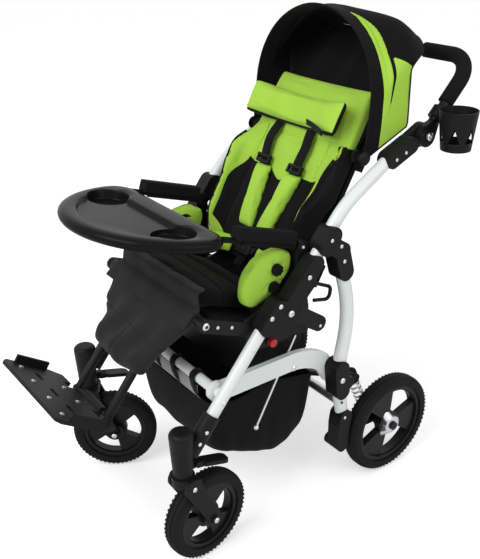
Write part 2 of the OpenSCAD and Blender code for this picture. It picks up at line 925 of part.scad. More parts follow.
module seat_frame() {
    dip = [-126, 490];
    rear = [72, 437];
    guard_in = cushion_half + 1.2;
    color(black) difference() {
        union() {
            both() {
                side(plate_in, plate_out) {
                    link(leg_rest_pivot, dip, 14, 15);
                    link(dip, fold_pivot, 14.6, 20);
                    link(fold_pivot, rear, 19.6, 18);
                    link(fold_pivot + [30, -16], recline_pivot, 17, 18);
                    link(recline_pivot, arm_pivot, 16.5, 14);
                }
                side(plate_in, plate_in + 4) link([20, 530], loop_pivot, 14, 9);
                across(loop_pivot, plate_in + 2, plate_out, 4);
                across(recline_pivot, plate_in - 16, plate_in + 2, pin_r);
                across(arm_pivot, plate_in - 13, plate_in + 2, 5);
                side(guard_in, guard_in + 3) link([-60, 498], [-48, 598], 26, 18);
                translate([plate_in - 30, -110, 418]) cube([20, 165, 66]);
            }
            tilt_cover();
            at_seat() translate([-plate_in - 1, -178, -pan_drop - pan_t]) cube([2 * plate_in + 2, 173, pan_t]);
        }
        both() {
            across(fold_pivot, plate_in - 40, plate_out + 1, bolt_r + run_gap);
            across(leg_rest_pivot, plate_in - 1, plate_out + 1, pin_r + run_gap);
        }
        across(tilt_knob_at, plate_in - 40, plate_in, 4 + run_gap);
    }
}

module seat_cushion() {
    long = 188;
    skin = function(u, v, s) let (
        a = gather(u), b = gather(v),
        x = a * cushion_half * (1 - 0.05 * b * b) * (1 - 0.02 * (1 - b * b)),
        y = -20 - long / 2 + b * long / 2 * (1 - 0.05 * a * a),
        full = sqrt(max(0, (1 - pow(a, 6)) * (1 - pow(b, 6)))),
        nose = 10 * smooth(-0.6, -1, b),
        top = -15 + 15 * full - nose * 0.6 - 4 * groove(b, -0.28, 0.08) - 4 * groove(b, 0.35, 0.08),
        low = -cushion_t + 9 * (1 - full)
    ) [x, y, s > 0 ? top : low];
    color(black) at_seat() padded(16, 18, skin);
}

hip_at = [-58, 578];
hip_in = cushion_half + 5;
hip_t = 29.5;
knob_spots = [[-38, 592], [-46, 556]];

// Kidney shaped side pad in the side plane
module hip_guard() {
    skin = function(u, v, s) let (
        a = gather(u), b = gather(v),
        k = sqrt(max(0, 1 - a * a * b * b * 0.75)),
        y = hip_at[0] + 62 * a * k + 16 * b,
        z = hip_at[1] + 52 * b * k + 16 * a * (1 - 0.4 * b),
        full = sqrt(max(0, (1 - pow(a, 6)) * (1 - pow(b, 6))))
    ) [s > 0 ? hip_in + hip_t - 9 * (1 - full) : hip_in + 8 * (1 - full), y, z];
    color(green) padded(12, 12, skin);
}

module hip_guard_left() {
    hip_guard();
}

module hip_guard_right() {
    hand(-1) hip_guard();
}

module star_knob(k) {
    lobes = 8;
    knob_r = 12.5;
    knob_t = 9;
    p = knob_spots[k];
    base = hip_in + hip_t + 0.3;
    color(black) difference() {
        across(p, base, base + knob_t, knob_r);
        for (i = [0:lobes - 1]) {
            q = p + (knob_r + 2) * [cos(360 / lobes * i), sin(360 / lobes * i)];
            across(q, base + 3, base + knob_t + 1, 4);
        }
    }
}

module hip_knob_left_upper() {
    star_knob(0);
}

module hip_knob_left_lower() {
    star_knob(1);
}

module hip_knob_right_upper() {
    hand(-1) star_knob(0);
}

module hip_knob_right_lower() {
    hand(-1) star_knob(1);
}

rod_x = frame_x - 35.2;

module release_rod() {
    low = [-89, 230];
    high = [18, 421];
    color(silver) {
        in_side(rod_x) bent_bar([low, high], 5, 0);
        translate([rod_x, low[0], low[1]]) sphere(6);
    }
}

module tilt_knob() {
    face = plate_in - 10;
    color(red) {
        across(tilt_knob_at, face - 10, face + 4, 4);
        across(tilt_knob_at, face + 4, face + 15, 9);
    }
}

module release_loop() {
    start = loop_pivot + 12 * unit([50, -24]);
    color(black) difference() {
        union() {
            in_side(plate_in + 3.7) bent_bar([start, [104, 514], [100, 486], [57, 496]], 8, 11);
            side(plate_in + 4.3, plate_out - 0.6) link(loop_pivot, start, 9, 5);
        }
        across(loop_pivot, plate_in, plate_out + 1, 4 + run_gap);
    }
}

// Back unit

back_long = 442;

// Half width of the back pad at height z above the seat
function back_half(z) = 143 + 14 * smooth(170, 225, z);
function bolster(x, z) = 82 * pow(min(1, abs(x) / back_half(z)), 9) * (1 - smooth(255, 330, z)) * smooth(-20, 110, z);

module backrest_pad() {
    skin = function(u, v, s) let (
        a = gather(u), b = v,
        z = 16 + back_long * (b + 1) / 2,
        half = back_half(z),
        x = a * half * (1 - 0.05 * pow(b, 4)),
        full = sqrt(max(0, (1 - pow(a, 10)) * (1 - pow(b, 12)))),
        front = -bolster(x, z) * (0.55 + 0.45 * full) + 14 * (1 - full)
    ) [x, s > 0 ? front : back_t - 8 * (1 - full), z];
    color(green) at_back() padded(20, 16, skin);
}

shell_y = back_t + 0.3;
shell_t = 10;
shell_half = 148;

module backrest_shell() {
    corner = 40;
    tall = 455;
    wing = hood_half - hood_t - 16;
    color(black) difference() {
        union() {
            at_back() translate([0, shell_y + shell_t, 0]) rotate([90, 0, 0]) linear_extrude(shell_t) {
                translate([-shell_half, 14]) square([2 * shell_half, tall - corner - 14]);
                translate([corner - shell_half, 14]) square([2 * (shell_half - corner), tall - 14]);
                for (k = [-1, 1]) translate([k * (shell_half - corner), tall - corner]) circle(corner);
            }
            both() {
                side(plate_in - 14, plate_in - 0.5)
                    link(recline_pivot, back_point(shell_y + shell_t / 2, 62), 13, shell_t / 2);
                at_back() translate([shell_half - 10, shell_y, 40]) cube([plate_in - shell_half + 9.5, shell_t, 50]);
                side(wing - 8, wing) link(hood_pivot, back_point(shell_y + shell_t / 2, 322), 13, shell_t / 2);
                at_back() translate([shell_half - 10, shell_y, 296]) cube([wing - shell_half + 10, shell_t, 52]);
                across(hood_pivot, wing - 4, hood_half + nest - 0.3, pin_r);
            }
        }
        both() across(recline_pivot, plate_in - 20, plate_in + 4, pin_r + run_gap);
    }
}

// Shoulder pads, webbing and buckle lie on the flat middle of the back pad
module harness() {
    lift = 1.2;
    web_half = 12;
    web_t = 2.5;
    shoulder = function(k) function(u, v, s) let (
        b = v,
        z = 195 + 95 * b,
        mid = k * (45 + 14 * b),
        full = sqrt(max(0, (1 - pow(u, 4)) * (1 - pow(b, 6))))
    ) [mid + u * 24 * (1 - 0.12 * pow(b, 4)), s > 0 ? -lift - 4 - 12 * full : -lift, z];
    color(black) at_back() {
        for (k = [-1, 1]) {
            padded(6, 10, shoulder(k));
            translate([0, -lift, 0]) rotate([90, 0, 0]) linear_extrude(web_t)
                polygon([[k * 20, 62], [k * 40, 62], [k * 45, 101], [k * 22, 101]]);
        }
        translate([-30, -lift - 14, 40]) cube([60, 14, 24]);
        translate([-web_half, -lift - web_t, 20]) cube([2 * web_half, web_t, 22]);
    }
}

// Head support: a padded band that curves forward at both ends
module headrest() {
    bow_r = 223;
    bow_half = 43;
    tall = 78;
    mid_z = 372;
    skin = function(u, v, s) let (
        turn_at = gather(u) * bow_half,
        full = sqrt(max(0, (1 - pow(gather(u), 8)) * (1 - pow(v, 6)))),
        r = s > 0 ? bow_r - 14 - 12 * full : bow_r - 6 + 6 * full,
        h = mid_z + v * tall / 2 * (1 - 0.1 * pow(gather(u), 6))
    ) [r * sin(turn_at), r * cos(turn_at) - bow_r - 0.4, h];
    color(green) at_back() padded(20, 8, skin);
}

// Section of a hood part: half width w, radius r, corner radius c
module hood_block(w, r, c) {
    intersection() {
        union() {
            translate([0, -w]) square([r - c, 2 * w]);
            translate([0, c - w]) square([r, 2 * (w - c)]);
            for (s = [1, -1]) translate([r - c, s * (w - c)]) circle(c);
        }
        translate([0, -w - 1]) square([r + 1, 2 * w + 2]);
    }
}

module hood_shell(w, r, c, from, to) {
    translate([0, hood_pivot[0], hood_pivot[1]]) rotate([90, 0, 90]) difference() {
        union() {
            rotate([0, 0, from]) rotate_extrude(angle = to - from) difference() {
                hood_block(w, r, c);
                hood_block(w - hood_t, r - hood_t, c - hood_t);
            }
            for (s = [1, -1]) translate([0, 0, s * (w - hood_t / 2)]) cylinder(r = hood_hub_r, h = hood_t + 0.6, center = true);
        }
        cylinder(r = pin_r + run_gap, h = 3 * w, center = true);
    }
}

hood_corner = hood_half - 6;
hood_rear_corner = 95;
nest = hood_t + 0.9;
hood_hub_r = 10.5;

module hood_front() {
    color(black) hood_shell(hood_half, hood_r, hood_corner, hood_seam, hood_high);
}

// Roof and side panels: the roof ends in a sloping hem, the sides in an upright one
module hood_rear() {
    side_hem = [115, 163];
    roof_hem = [205, 185];
    hem_slope = 42;
    reach = 300;
    color(green) difference() {
        hood_shell(hood_half + nest, hood_r + nest, hood_rear_corner, hood_low, hood_seam + 3);
        side(-reach, reach) translate(hood_pivot)
            polygon([[side_hem[0], -reach], side_hem, roof_hem,
                roof_hem + reach * [cos(hem_slope), sin(hem_slope)], [2 * reach, reach], [2 * reach, -reach]]);
    }
}

// Leg rest

sleeve_x = 66;
slide_d = 18;
sleeve_d = 24;
sleeve_long = 150;
leg_bar_r = 12.5;

module legrest_frame() {
    color(black) difference() {
        union() {
            across(leg_rest_pivot, 0.4 - plate_in, plate_in - 0.4, leg_bar_r);
            across(leg_rest_pivot, 0.5 - plate_out, plate_out - 0.5, pin_r);
            for (k = [-1, 1]) at_leg_rest() translate([k * sleeve_x, 0, -sleeve_long])
                cylinder(d = sleeve_d, h = sleeve_long);
        }
        for (k = [-1, 1]) at_leg_rest() translate([k * sleeve_x, 0, -sleeve_long - 1])
            cylinder(d = slide_d + 2 * run_gap, h = sleeve_long - 12);
    }
}

// Padded calf support drawn over the two sleeves
module calf_pad() {
    tall = 156;
    top = -leg_bar_r - 0.6;
    front_t = 21;
    back_t = 17;
    skin = function(u, v, s) let (
        a = gather(u), b = gather(v),
        flare = pow((b + 1) / 2, 2),
        half = 98 + 66 * flare,
        x = a * half * (1 - 0.03 * b * b),
        z = top - tall / 2 + b * tall / 2 + 12 * a * a * smooth(-0.4, -1, b),
        full = sqrt(max(0, (1 - pow(a, 8)) * (1 - pow(b, 8)))),
        line = 4 * groove(b, 0.1, 0.1) + 3 * groove(a, 0, 0.1) * smooth(0.2, -0.4, b)
    ) [x, s > 0 ? -6 - (front_t - 6) * full + line * full : 5 + (back_t - 5) * full, z];
    color(charcoal) at_leg_rest() difference() {
        padded(14, 12, skin);
        for (k = [-1, 1]) translate([k * sleeve_x, 0, -300])
            cylinder(d = sleeve_d + 0.7, h = 400);
    }
}

module footrest_tubes() {
    hinge_r = 7;
    color(black) {
        at_leg_rest() for (k = [-1, 1]) translate([k * sleeve_x, 0, -leg_rest_length])
            cylinder(d = slide_d, h = leg_rest_length - 40);
        across(foot_hinge, -sleeve_x - 12, sleeve_x + 12, hinge_r);
    }
}

module footplate() {
    hinge_r = 7;
    knuckle_half = 44;
    slot_w = 34;
    slot_d = 9;
    rim_h = 20;
    color(black) difference() {
        union() {
            at_foot() translate([0, 0, -foot_t / 2]) linear_extrude(foot_t)
                polygon([[16 - foot_half, -14], [foot_half - 16, -14], [foot_half, -48],
                    [foot_half, 10 - foot_depth], [foot_half - 10, -foot_depth], [10 - foot_half, -foot_depth],
                    [-foot_half, 10 - foot_depth], [-foot_half, -48]]);
            for (k = [-1, 1]) at_foot() translate([k * (foot_half - 3) - 3, -128, 0]) cube([6, 78, rim_h]);
            across(foot_hinge, -knuckle_half, knuckle_half, 12);
            at_foot() translate([0.6 - knuckle_half, -20, 0.5 - foot_t / 2]) cube([2 * knuckle_half - 1.2, 16, foot_t - 1]);
        }
        across(foot_hinge, -knuckle_half - 1, knuckle_half + 1, hinge_r + run_gap);
        for (k = [-1, 1]) at_foot() translate([k * sleeve_x - 14, -34, -20]) cube([28, 40, 40]);
        for (k = [-1, 0, 1]) at_foot() translate([k * 74 - slot_w / 2, -96 - slot_d / 2, -20])
            cube([slot_w, slot_d, 40]);
    }
}

// Armrests and tray, drawn along the arm from its pivot

arm_tube_x = frame_x - 34;
arm_tube_d = 18;
rod_d = 12;

module armrests() {
    pad_half = 14;
    pad_t = 24;
    color(black) both() difference() {
        union() {
            side(plate_in - 12, plate_in - 0.5) link(arm_pivot, arm_pivot + 24 * arm_dir, 13, 9);
            at_arm(arm_tube_x) translate([0, 0, 16]) cylinder(d = arm_tube_d, h = 134);
            at_arm(arm_tube_x) translate([-pad_half, 4, 22]) {
                cube([2 * pad_half, pad_t - 6, 146]);
                translate([6, 0, 0]) cube([2 * pad_half - 12, pad_t, 146]);
                for (k = [6, 2 * pad_half - 6]) translate([k, pad_t - 6, 0]) cylinder(r = 6, h = 146);
            }
        }
        across(arm_pivot, plate_in - 30, plate_in, 5 + run_gap);
        at_arm(arm_tube_x) translate([0, 0, 36]) cylinder(d = rod_d + 2 * run_gap, h = 200);
    }
}

module tray() {
    mid = -26;
    wall = 13;
    deep = 9;
    cup_floor = 5;
    tray_cup_x = 128;
    color(charcoal) {
        at_tray() difference() {
            intersection() {
                translate([0, mid, -tray_t]) cylinder(r1 = tray_r - 14, r2 = tray_r, h = tray_t);
                translate([-300, -400, -tray_t - 1]) cube([600, 400, tray_t + 2]);
            }
            intersection() {
                translate([0, mid, -deep]) cylinder(r1 = tray_r - wall - 4, r2 = tray_r - wall, h = deep + 0.01);
                translate([-300, -400 - wall, -deep]) cube([600, 400, deep + 1]);
            }
            for (k = [-1, 1]) translate([k * tray_cup_x, -82, cup_floor - tray_t]) cylinder(r = tray_cup_r, h = tray_t);
        }
        both() at_arm(arm_tube_x) translate([0, 0, 40]) cylinder(d = rod_d, h = 158);
    }
}

module placed() {
    translate([-origin_x, -origin_y, 0]) children();
}

placed() front_legs();
placed() front_cross_tube();
placed() joint_lowers();
placed() castor_housings();
placed() arch_link_left();
placed() arch_link_right();
placed() basket();
placed() castor_fork_left();
placed() castor_fork_right();
placed() front_rim_left();
placed() front_rim_right();
placed() front_tyre_left();
placed() front_tyre_right();
placed() castor_lock_left();
placed() castor_lock_right();
placed() push_tube_left();
placed() push_tube_right();
placed() joint_uppers();
placed() leg_brackets();
placed() rear_leg_left();
placed() rear_leg_right();
placed() suspension_tops();
placed() suspension_feet();
placed() rear_cross_tube();
placed() handle_clamps();
placed() swing_arm_left();
placed() swing_arm_right();
placed() spring_left();
placed() spring_right();
placed() rear_rim_left();
placed() rear_rim_right();
placed() rear_tyre_left();
placed() rear_tyre_right();
placed() push_bar();
placed() handle_grips();
placed() cup_holder();
placed() brake_pedal();
placed() seat_frame();
placed() seat_cushion();
placed() hip_guard_left();
placed() hip_guard_right();
placed() hip_knob_left_upper();
placed() hip_knob_left_lower();
placed() hip_knob_right_upper();
placed() hip_knob_right_lower();
placed() release_rod();
placed() backrest_shell();
placed() backrest_pad();
placed() harness();
placed() headrest();
placed() hood_front();
placed() hood_rear();
placed() legrest_frame();
placed() calf_pad();
placed() footrest_tubes();
placed() footplate();
placed() armrests();
placed() tray();
placed() release_loop();
placed() tilt_knob();
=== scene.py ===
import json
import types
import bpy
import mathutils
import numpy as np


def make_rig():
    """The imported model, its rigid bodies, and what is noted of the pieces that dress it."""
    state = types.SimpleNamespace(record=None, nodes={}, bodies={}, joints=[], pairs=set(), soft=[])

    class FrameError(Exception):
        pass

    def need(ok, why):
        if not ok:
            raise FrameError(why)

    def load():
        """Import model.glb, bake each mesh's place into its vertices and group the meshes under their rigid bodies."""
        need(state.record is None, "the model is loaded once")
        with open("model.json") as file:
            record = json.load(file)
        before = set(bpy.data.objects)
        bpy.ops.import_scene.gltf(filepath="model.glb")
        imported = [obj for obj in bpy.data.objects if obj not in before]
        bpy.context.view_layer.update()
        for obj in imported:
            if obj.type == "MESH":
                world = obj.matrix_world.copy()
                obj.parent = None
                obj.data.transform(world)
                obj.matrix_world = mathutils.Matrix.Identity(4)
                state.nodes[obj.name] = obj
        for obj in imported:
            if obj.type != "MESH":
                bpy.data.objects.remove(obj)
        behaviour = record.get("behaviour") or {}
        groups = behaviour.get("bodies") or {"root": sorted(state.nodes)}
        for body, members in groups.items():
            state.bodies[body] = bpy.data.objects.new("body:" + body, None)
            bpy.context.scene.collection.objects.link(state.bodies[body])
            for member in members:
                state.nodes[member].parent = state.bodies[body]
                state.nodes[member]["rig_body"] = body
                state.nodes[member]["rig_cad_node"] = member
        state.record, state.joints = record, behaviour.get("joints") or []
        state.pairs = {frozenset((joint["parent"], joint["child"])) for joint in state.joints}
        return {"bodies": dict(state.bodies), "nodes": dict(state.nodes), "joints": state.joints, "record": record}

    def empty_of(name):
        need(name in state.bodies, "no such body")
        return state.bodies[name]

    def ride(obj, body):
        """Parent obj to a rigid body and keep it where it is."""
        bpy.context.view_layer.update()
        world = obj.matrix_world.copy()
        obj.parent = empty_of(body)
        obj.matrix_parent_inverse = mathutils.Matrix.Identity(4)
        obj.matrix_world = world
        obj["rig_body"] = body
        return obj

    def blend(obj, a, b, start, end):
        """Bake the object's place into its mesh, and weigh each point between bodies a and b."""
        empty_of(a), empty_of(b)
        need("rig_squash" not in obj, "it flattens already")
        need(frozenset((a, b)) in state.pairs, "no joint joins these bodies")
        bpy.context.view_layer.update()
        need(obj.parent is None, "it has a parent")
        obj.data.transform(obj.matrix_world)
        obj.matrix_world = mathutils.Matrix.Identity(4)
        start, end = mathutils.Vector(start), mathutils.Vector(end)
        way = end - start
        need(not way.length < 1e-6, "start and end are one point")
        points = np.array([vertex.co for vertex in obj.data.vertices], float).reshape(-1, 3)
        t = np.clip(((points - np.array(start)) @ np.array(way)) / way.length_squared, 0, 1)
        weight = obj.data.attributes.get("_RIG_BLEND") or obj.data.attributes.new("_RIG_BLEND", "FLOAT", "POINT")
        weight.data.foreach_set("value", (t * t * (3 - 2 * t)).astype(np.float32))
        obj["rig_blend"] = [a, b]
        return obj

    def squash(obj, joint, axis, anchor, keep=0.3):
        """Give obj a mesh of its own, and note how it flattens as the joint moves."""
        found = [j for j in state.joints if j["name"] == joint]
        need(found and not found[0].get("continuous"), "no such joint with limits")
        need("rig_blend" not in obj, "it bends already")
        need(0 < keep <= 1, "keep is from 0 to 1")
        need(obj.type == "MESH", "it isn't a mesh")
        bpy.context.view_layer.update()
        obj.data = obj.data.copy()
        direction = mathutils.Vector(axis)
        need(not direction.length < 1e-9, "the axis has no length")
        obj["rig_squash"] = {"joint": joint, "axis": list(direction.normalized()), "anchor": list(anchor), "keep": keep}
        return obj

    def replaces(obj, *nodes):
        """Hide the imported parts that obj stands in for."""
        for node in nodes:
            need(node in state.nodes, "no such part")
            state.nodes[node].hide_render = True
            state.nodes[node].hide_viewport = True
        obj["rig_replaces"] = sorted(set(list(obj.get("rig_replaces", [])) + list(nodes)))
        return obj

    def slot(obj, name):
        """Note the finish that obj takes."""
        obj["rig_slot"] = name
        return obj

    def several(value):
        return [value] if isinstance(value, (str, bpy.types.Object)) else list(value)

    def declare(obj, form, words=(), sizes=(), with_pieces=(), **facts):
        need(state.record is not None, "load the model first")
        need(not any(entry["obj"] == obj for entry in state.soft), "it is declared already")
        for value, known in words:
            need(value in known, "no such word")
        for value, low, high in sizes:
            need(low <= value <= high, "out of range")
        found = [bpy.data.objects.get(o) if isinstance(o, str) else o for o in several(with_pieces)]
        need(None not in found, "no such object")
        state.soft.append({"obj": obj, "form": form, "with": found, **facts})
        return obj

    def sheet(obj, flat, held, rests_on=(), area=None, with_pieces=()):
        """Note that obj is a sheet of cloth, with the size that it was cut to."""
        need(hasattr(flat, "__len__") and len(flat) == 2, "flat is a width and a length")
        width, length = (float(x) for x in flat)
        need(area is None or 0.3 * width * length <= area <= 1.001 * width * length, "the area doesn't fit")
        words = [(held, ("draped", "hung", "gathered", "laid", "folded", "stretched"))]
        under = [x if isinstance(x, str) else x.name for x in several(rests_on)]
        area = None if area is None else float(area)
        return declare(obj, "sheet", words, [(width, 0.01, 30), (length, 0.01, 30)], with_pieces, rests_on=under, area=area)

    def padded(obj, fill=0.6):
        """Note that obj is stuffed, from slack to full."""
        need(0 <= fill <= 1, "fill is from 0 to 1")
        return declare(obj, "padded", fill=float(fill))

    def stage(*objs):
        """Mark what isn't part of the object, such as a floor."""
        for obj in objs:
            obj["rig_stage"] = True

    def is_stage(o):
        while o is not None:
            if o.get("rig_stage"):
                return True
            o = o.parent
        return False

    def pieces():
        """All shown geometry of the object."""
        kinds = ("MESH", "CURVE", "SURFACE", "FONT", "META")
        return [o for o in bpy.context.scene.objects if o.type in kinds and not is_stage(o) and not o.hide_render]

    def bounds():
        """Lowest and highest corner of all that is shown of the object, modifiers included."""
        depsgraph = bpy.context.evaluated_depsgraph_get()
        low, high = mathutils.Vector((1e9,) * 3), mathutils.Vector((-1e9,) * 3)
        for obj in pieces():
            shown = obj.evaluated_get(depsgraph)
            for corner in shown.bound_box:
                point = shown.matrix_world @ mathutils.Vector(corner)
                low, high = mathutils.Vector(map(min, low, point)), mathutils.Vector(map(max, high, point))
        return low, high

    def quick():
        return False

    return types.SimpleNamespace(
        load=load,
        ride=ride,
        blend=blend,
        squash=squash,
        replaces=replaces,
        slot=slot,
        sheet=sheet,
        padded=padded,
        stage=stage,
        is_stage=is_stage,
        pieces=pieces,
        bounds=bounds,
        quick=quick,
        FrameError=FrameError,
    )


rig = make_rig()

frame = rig.load()
cad_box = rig.bounds()

# Camera: a 61 mm lens on a 36 mm wide sensor looks down on the front left corner of the buggy,
# with about one degree of roll.
from math import acos, atan2, cos, hypot, pi, radians, sin, sqrt

import bpy
from mathutils import Matrix, Vector

scene = bpy.context.scene
scene.view_settings.view_transform = "Standard"
MIDDLE = (28.0, -18.1684)


def spot(x, y, z):
    """Point of the drawing, in millimetres from the seat line, in the row frame in metres."""
    return Vector(((x - MIDDLE[0]) / 1000, (y - MIDDLE[1]) / 1000, z / 1000))


turn, rise, roll = (radians(a) for a in (54.35, 25.61, -1.06))
looked_at, distance = spot(-24.89, 17.29, 477.41), 1.84425
toward = Vector((sin(turn) * cos(rise), -cos(turn) * cos(rise), sin(rise)))
right = Vector((cos(turn), sin(turn), 0))
stand = Matrix((right, toward.cross(right), toward)).transposed() @ Matrix.Rotation(roll, 3, "Z")
lens = bpy.data.cameras.new("camera")
lens.lens, lens.sensor_width, lens.sensor_fit = 60.86, 36.0, "HORIZONTAL"
camera = bpy.data.objects.new("camera", lens)
camera.matrix_world = Matrix.Translation(looked_at + distance * toward) @ stand.to_4x4()
scene.collection.objects.link(camera)
scene.camera = camera


# Studio: a plain pale floor, a white surround for the camera and for reflections, and two large
# soft lamps, the stronger one in front and to the camera's left.
def add(tree, kind, values=(), **settings):
    """New node with its settings and the plain values of its inputs."""
    node = tree.nodes.new(kind)
    for key, value in settings.items():
        setattr(node, key, value)
    for key, value in dict(values).items():
        node.inputs[key].default_value = value
    return node


def wire(tree, *links):
    """Joins nodes: each link is a node, its output, the next node and its input."""
    for source, out, target, into in links:
        tree.links.new(source.outputs[out], target.inputs[into])


def blank(name, values):
    """New material with plain values on its shader, its tree and the shader."""
    made = bpy.data.materials.new(name)
    made.use_nodes = True
    shader = made.node_tree.nodes["Principled BSDF"]
    for key, value in values.items():
        shader.inputs[key].default_value = value
    return made, made.node_tree, shader


world = bpy.data.worlds.new("studio")
scene.world = world
world.use_nodes = True
sky = world.node_tree
sky.nodes.clear()
path = add(sky, "ShaderNodeLightPath")
seen = add(sky, "ShaderNodeMath", operation="ADD")
shown = add(sky, "ShaderNodeMath", operation="ADD", use_clamp=True)
soft, white = (add(sky, "ShaderNodeBackground", {"Color": (1, 1, 1, 1), "Strength": strength})
               for strength in (0.62, 1.0))
blend = add(sky, "ShaderNodeMixShader")
surround = add(sky, "ShaderNodeOutputWorld")
wire(sky, (path, "Is Camera Ray", seen, 0), (path, "Is Glossy Ray", seen, 1), (seen, 0, shown, 0),
     (path, "Is Transmission Ray", shown, 1), (shown, 0, blend, 0), (soft, 0, blend, 1), (white, 0, blend, 2),
     (blend, 0, surround, "Surface"))


def lamp(name, place, size, watts):
    """Square soft lamp aimed at the seat."""
    made = bpy.data.lights.new(name, "AREA")
    made.shape, made.size, made.energy = "SQUARE", size, watts
    thing = bpy.data.objects.new(name, made)
    place = Vector(place)
    aim = (Vector((0, 0, 0.5)) - place).to_track_quat("-Z", "Y").to_matrix().to_4x4()
    thing.matrix_world = Matrix.Translation(place) @ aim
    scene.collection.objects.link(thing)


lamp("lamp_front", (0.2, -2.3, 2.5), 1.8, 52.0)
lamp("lamp_side", (2.6, 0.6, 1.9), 1.8, 18.0)

paper, paper_tree, paper_shader = blank("pale_floor", {
    "Base Color": (0.9, 0.9, 0.9, 1), "Roughness": 0.9, "Specular IOR Level": 0.1,
    "Emission Color": (1, 1, 1, 1)})
sees = add(paper_tree, "ShaderNodeLightPath")
lift_by = add(paper_tree, "ShaderNodeMath", {1: 0.42}, operation="MULTIPLY")
wire(paper_tree, (sees, "Is Camera Ray", lift_by, 0), (lift_by, 0, paper_shader, "Emission Strength"))
floor_reach, floor_drop = 16.0, -3e-4
floor_mesh = bpy.data.meshes.new("floor")
floor_mesh.from_pydata([(a * floor_reach, b * floor_reach, floor_drop)
                        for a, b in ((-1, -1), (1, -1), (1, 1), (-1, 1))], [], [(0, 1, 2, 3)])
floor_mesh.materials.append(paper)
floor = bpy.data.objects.new("floor", floor_mesh)
scene.collection.objects.link(floor)
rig.stage(floor)


# Front frame: two sloping legs, a cross tube and two flat arch links of steel with a white powder coat,
# pinned into black moulded fold joints and castor housings.
def effect(name, numbers):
    """Empty shader group with number inputs, which puts out a tone and a height."""
    group = bpy.data.node_groups.new(name, "ShaderNodeTree")
    for label, value in numbers:
        group.interface.new_socket(label, in_out="INPUT", socket_type="NodeSocketFloat").default_value = value
    for label in ("Tone", "Height"):
        group.interface.new_socket(label, in_out="OUTPUT", socket_type="NodeSocketFloat")
    return group, add(group, "NodeGroupInput"), add(group, "NodeGroupOutput")


def drifting(group, start, end, noise):
    """Tone of a group: 1, with the noise's slow drift to both sides."""
    centred = add(group, "ShaderNodeMath", {1: 0.5}, operation="SUBTRACT")
    swing = add(group, "ShaderNodeMath", operation="MULTIPLY")
    tone = add(group, "ShaderNodeMath", {1: 2.0, 2: 1.0}, operation="MULTIPLY_ADD")
    wire(group, (noise, 0, centred, 0), (centred, 0, swing, 0), (start, "Drift", swing, 1), (swing, 0, tone, 0),
         (tone, 0, end, "Tone"))


grain, grain_in, grain_out = effect(
    "surface_grain", (("Grain scale", 900.0), ("Drift scale", 14.0), ("Drift", 0.12)))
where = add(grain, "ShaderNodeTexCoord")
fine, slow = (add(grain, "ShaderNodeTexNoise", {"Detail": 3.0}) for _ in range(2))
wire(grain, (where, "Object", fine, "Vector"), (grain_in, "Grain scale", fine, "Scale"),
     (where, "Object", slow, "Vector"), (grain_in, "Drift scale", slow, "Scale"),
     (fine, 0, grain_out, "Height"))
drifting(grain, grain_in, grain_out, slow)


def coloured(tree, shader, skin, colour, bump, depth):
    """Colour by the skin's tone and a bump by its height, on the shader."""
    tint = add(tree, "ShaderNodeMix", {0: 1.0, 6: (*colour, 1)}, data_type="RGBA", blend_type="MULTIPLY")
    relief = add(tree, "ShaderNodeBump", {"Strength": bump, "Distance": depth})
    wire(tree, (skin, "Tone", tint, 7), (tint, 2, shader, "Base Color"), (skin, "Height", relief, "Height"),
         (relief, "Normal", shader, "Normal"))
    return tint


def finish(name, colour, rough, scale=900.0, bump=0.06, metal=0.0, spec=0.5, coat=0.0, drift=0.12):
    """Hard finish: colour with a slow drift, a fine grain in gloss and bump."""
    made, tree, shader = blank(name, {"Metallic": metal, "Specular IOR Level": spec, "Coat Weight": coat})
    skin = add(tree, "ShaderNodeGroup", {"Grain scale": scale, "Drift": drift}, node_tree=grain)
    coloured(tree, shader, skin, colour, bump, 0.001)
    gloss = add(tree, "ShaderNodeMath", {1: 0.16, 2: rough - 0.08}, operation="MULTIPLY_ADD")
    wire(tree, (skin, "Height", gloss, 0), (gloss, 0, shader, "Roughness"))
    return made


def dress(material, *names):
    """Gives CAD nodes a finish."""
    for name in names:
        for place in frame["nodes"][name].material_slots:
            place.material = material


white_coat = finish("white_powder_coat", (0.72, 0.755, 0.74), 0.38, scale=1400.0, bump=0.03, coat=0.15,
                    drift=0.05)
moulded = finish("black_moulded_plastic", (0.0072, 0.0072, 0.0077), 0.46, scale=1100.0, bump=0.12, spec=0.14)
dress(white_coat, "front_legs", "front_cross_tube", "arch_link_left", "arch_link_right")
dress(moulded, "joint_lowers", "castor_housings")


# Screws and rivets of the frame: steel button heads in bright zinc with a recess in the middle, set in
# the joints, brackets, arches and seat plates.
def copies_tree(name, numbers, build):
    """Node tree that sets one shape on many points, as a plain mesh with a finish.

    build(tree, start) gives the sockets of the points, the shape, its rotation and its scale."""
    tree = bpy.data.node_groups.new(name, "GeometryNodeTree")
    for label, kind in (("Spots", "Geometry"), *numbers, ("Finish", "Material")):
        tree.interface.new_socket(label, in_out="INPUT", socket_type=f"NodeSocket{kind}")
    tree.interface.new_socket("Copies", in_out="OUTPUT", socket_type="NodeSocketGeometry")
    start, end = add(tree, "NodeGroupInput"), add(tree, "NodeGroupOutput")
    place = add(tree, "GeometryNodeInstanceOnPoints")
    for label, source in zip(("Points", "Instance", "Rotation", "Scale"), build(tree, start)):
        tree.links.new(source, place.inputs[label])
    real, paint_on = add(tree, "GeometryNodeRealizeInstances"), add(tree, "GeometryNodeSetMaterial")
    wire(tree, (place, "Instances", real, "Geometry"), (real, "Geometry", paint_on, "Geometry"),
         (start, "Finish", paint_on, "Material"), (paint_on, "Geometry", end, "Copies"))
    return tree


